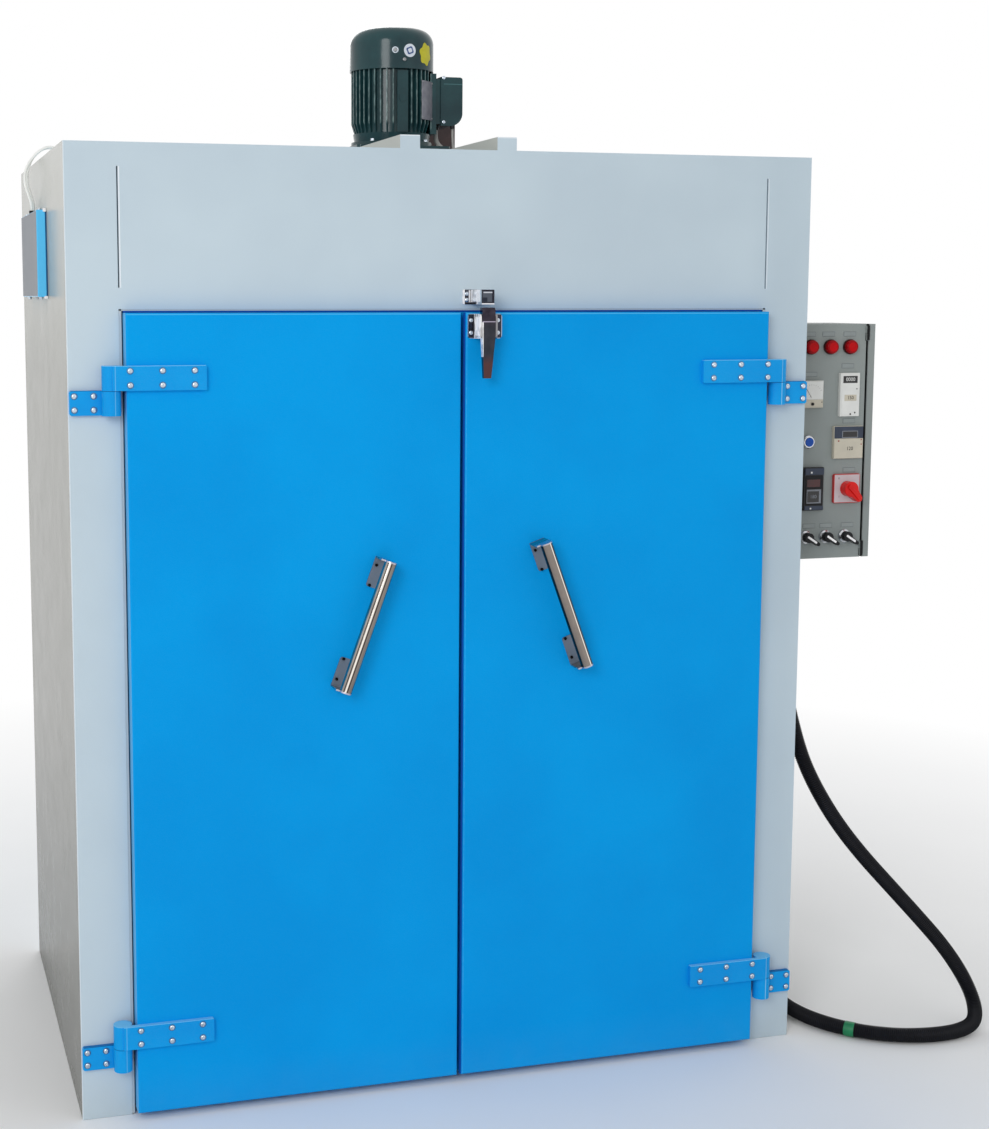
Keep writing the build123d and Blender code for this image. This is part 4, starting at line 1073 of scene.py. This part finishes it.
# Strips that close most of the gaps round the doors and between them; the top and middle ones are
# navy, as painted shade in the dark gaps
gapStrips = {  # body, look, slot, corners, edge and its segments
    "jambStrips": ("cabinet", "jambPaint", "cabinet_paint", [
        ((-0.6722, -0.4796, 0.0020), (-0.6664, -0.4775, 1.5902)),
        ((0.6664, -0.4796, 0.0020), (0.6722, -0.4775, 1.5902)),
        ((-0.6722, -0.4796, 1.5866), (0.6722, -0.4775, 1.5902))], 0.0004, 1),
    "topGapShade": ("cabinet", "navyGapShade", "cabinet_paint", [
        ((-0.6640, -0.4796, 1.5833), (0.6640, -0.4775, 1.5864))], 0.0004, 1),
    "meetingGapShade": ("right_door", "navyGapShade", "door_paint", [
        ((0.0012, -0.5125, 0.0160), (0.0047, -0.5085, 1.5820))], 0.0008, 2),
}
for name, made in gapStrips.items():
    boxPiece(name, *made)

# Faces of the instruments on the control door: boxes as low x, high x, low z, high z
panel = {
    "body": "control_panel", "door": -0.330,
    "plates": {
        "timerFace": ("whiteCase", -0.339, 0.0009, [(0.9380, 0.9800, 1.3535, 1.4435)]),
        "timerDisplay": ("darkWindow", -0.3399, 0.0006, [(0.9410, 0.9760, 1.4245, 1.4400)]),
        "timerBand": ("beigeCase", -0.3399, 0.0005, [(0.9450, 0.9745, 1.3850, 1.3985)]),
        "timerKeys": ("blackPlastic", -0.3399, 0.0010,
                      [(0.9588, 0.9618, 1.3540, 1.3576), (0.9700, 0.9728, 1.3572, 1.3606),
                       (0.9737, 0.9761, 1.4104, 1.4128)]),
        "heatBand": ("navyPrint", -0.339, 0.0008, [(0.9236, 0.9944, 1.3020, 1.3282)]),
        "heatFrame": ("greyFrame", -0.3398, 0.0006, [(0.9420, 0.9812, 1.3030, 1.3188)]),
        "heatWindow": ("darkWindow", -0.3404, 0.0004, [(0.9440, 0.9792, 1.3048, 1.3172)]),
        "heatFace": ("beigeCase", -0.339, 0.0008, [(0.9236, 0.9944, 1.2580, 1.3016)]),
        "heatLights": ("ledRed", -0.3398, 0.0008,
                       [(0.9886, 0.9910, 1.2974, 1.2998), (0.9889, 0.9913, 1.2873, 1.2897),
                        (0.9322, 0.9356, 1.2950, 1.2978)]),
        "limitClips": ("navyPrint", -0.340, 0.0022,
                       [(0.8532, 0.8992, 1.2228, 1.2372), (0.8532, 0.8992, 1.1446, 1.1536)]),
        "limitFace": ("blackPlastic", -0.340, 0.0012, [(0.8550, 0.8972, 1.1556, 1.2206)]),
        "limitFrame": ("greyFrame", -0.3412, 0.0006, [(0.8580, 0.8932, 1.1592, 1.1902)]),
        "limitWindow": ("darkWindow", -0.3418, 0.0005, [(0.8598, 0.8880, 1.1618, 1.1864)]),
        "limitDisplay": ("redWindow", -0.3412, 0.0006, [(0.8580, 0.8905, 1.1956, 1.2124)]),
        "limitDots": ("whiteCase", -0.3422, 0.0008,
                      [(0.8662, 0.8704, 1.2260, 1.2300), (0.8657, 0.8697, 1.1462, 1.1500)]),
        "meterFace": ("whiteCase", -0.340, 0.0008, [(0.8350, 0.8912, 1.3900, 1.4288)]),
        "meterBand": ("beigeCase", -0.340, 0.0010, [(0.8350, 0.8912, 1.3722, 1.3888)]),
        "meterDot": ("blackPlastic", -0.3410, 0.0005, [(0.8878, 0.8900, 1.3824, 1.3844)]),
    },
    "labels": [(0.8600, 1.5320), (0.9070, 1.5320), (0.9590, 1.5320), (0.9565, 1.4619),
               (0.8660, 1.4440), (0.9633, 1.3402), (0.9673, 1.2310), (0.8720, 1.1075),
               (0.9140, 1.1075), (0.9670, 1.1075)],
    "labelSize": (0.0290, 0.0092),
    "digits": [  # text, size, middle, look, face
        ("0000", 0.0115, (0.9585, 1.4323), "whiteCase", -0.3405),
        ("150", 0.0105, (0.9598, 1.3917), "blackPlastic", -0.3404),
        ("120", 0.0110, (0.9620, 1.2790), "blackPlastic", -0.3398),
        ("180", 0.0110, (0.8740, 1.1741), "greyFrame", -0.3423),
        ("0", 0.0065, (0.9385, 1.2128), "blackPlastic", -0.338),
        ("1", 0.0065, (0.9400, 1.1720), "blackPlastic", -0.338)],
    "dial": {"centre": (0.8632, 1.3930), "radius": 0.0285, "ticks": 11, "from": 35, "to": 145,
             "long": 0.0042, "short": 0.0026, "face": -0.3408, "needle": 122},
    "knob": {"place": (0.8658, -0.3410, 1.3794), "radius": 0.0033, "height": 0.0026},
    "rims": {"places": (0.863, 0.911, 0.959), "level": 1.5041, "radius": 0.0166,
             "bore": 0.0151, "height": 0.0062},
}


def onPanel(name, look, corners, edge):
    boxPiece(name, panel["body"], look, "instrument_plastic", corners, edge)


for name, (look, face, raised, sheets) in panel["plates"].items():
    onPanel(name, look, [((x0, face - raised, z0), (x1, face + 0.0002, z1))
                         for x0, x1, z0, z1 in sheets], min(raised * 0.4, 0.0005))

made = panel["rims"]
rim = cut(disc(made["radius"], made["height"], 36), disc(made["bore"], made["height"] * 3, 36))
bevelEdges(rim, 0.0006)
smoothPiece(rim)
spread(rim, [((x, panel["door"], made["level"]), front) for x in made["places"]], "lampRims",
       panel["body"], "lampRim")
bpy.data.objects.remove(rim)

wide, high = (value / 2 for value in panel["labelSize"])
for name, look, out, raised, edge in (("bareLabels", "bareLabel", 0.0, 0.0006, 0.0002),
                                      ("labelRims", "labelLine", 0.0006, 0.0004, 0.0001)):
    onPanel(name, look, [((x - wide - out, panel["door"] - raised, z - high - out),
                          (x + wide + out, panel["door"] + 0.0002, z + high + out))
                         for x, z in panel["labels"]], edge)

for index, (words, size, (x, z), look, face) in enumerate(panel["digits"]):
    deselect()
    bpy.ops.object.text_add(location=(0, 0, 0))
    letters = bpy.context.object
    letters.data.body = words
    letters.data.size = size
    letters.data.align_x, letters.data.align_y = "CENTER", "CENTER"
    letters.data.extrude = 0.0002
    letters.data.resolution_u = 3
    bpy.ops.object.convert(target="MESH")
    letters = bpy.context.object
    letters.rotation_euler = (math.pi / 2, 0, 0)
    letters.location = (x, face, z)
    settle(letters, "digits" + str(index), panel["body"], look)

dial = panel["dial"]


def dialMark(low, high, degrees, away, face):
    # a thin bar on the meter's face, pointing away from the dial's centre
    angle = math.radians(degrees)
    bar = block(low, high, 0.0001, 1)
    bar.rotation_euler = (0, math.pi / 2 - angle, 0)
    bar.location = (dial["centre"][0] + away * math.cos(angle), face,
                    dial["centre"][1] + away * math.sin(angle))
    return bar


marks = []
for step in range(dial["ticks"]):
    degrees = dial["from"] + step / (dial["ticks"] - 1) * (dial["to"] - dial["from"])
    half = dial["short" if step % 5 else "long"] / 2
    marks.append(dialMark((-0.0002, -0.0003, -half), (0.0002, 0.0, half), degrees,
                          dial["radius"], dial["face"]))
reach = dial["radius"] - 0.003
marks.append(dialMark((-0.0004, -0.0006, 0.0), (0.0004, -0.0003, reach), dial["needle"],
                      reach / 2, dial["face"] - 0.0004))
settle(joined(marks), "meterScale", panel["body"], "blackPlastic")
made = panel["knob"]
knob = disc(made["radius"], made["height"])
pickTop(knob)
bpy.ops.mesh.inset(thickness=made["radius"] * 0.3)
bpy.ops.transform.translate(value=(0, 0, -made["height"] * 0.25))
leaveEdit()
bevelEdges(knob, 0.0002, 1)
knob.rotation_euler = (math.pi / 2, 0, 0)
knob.location = made["place"]
settle(knob, "meterKnob", panel["body"], "blackPlastic")

# White pointers on the selectors, and the raised spine of the main switch
pointers = {
    "selectors": {"selector_a": 0.863, "selector_b": 0.911, "selector_c": 0.959},
    "face": -0.3533, "level": 1.0832, "turn": 33,
    "spine": {"place": (0.959, -0.3603, 1.1900), "turn": 47},
}


def turned(piece, place, degrees):
    piece.matrix_world = (Matrix.Translation(place)
                          @ Matrix.Rotation(math.radians(degrees), 4, "Y")
                          @ Matrix.Translation(piece.location))


for body, x in pointers["selectors"].items():
    pointer = block((-0.0060, -0.0010, -0.0024), (0.0205, 0.0002, 0.0024), 0.0006)
    turned(pointer, (x, pointers["face"], pointers["level"]), pointers["turn"])
    settle(pointer, body + "Pointer", body, "pointerWhite")
spine = block((-0.0120, -0.0034, -0.0046), (0.0310, 0.0004, 0.0046), 0.0022, 3)
turned(spine, pointers["spine"]["place"], pointers["spine"]["turn"])
smoothPiece(spine)
settle(spine, "switchSpine", "switch_handle", "handleRed")
for master in masters.values():
    bpy.data.objects.remove(master)
print("control panel details set")
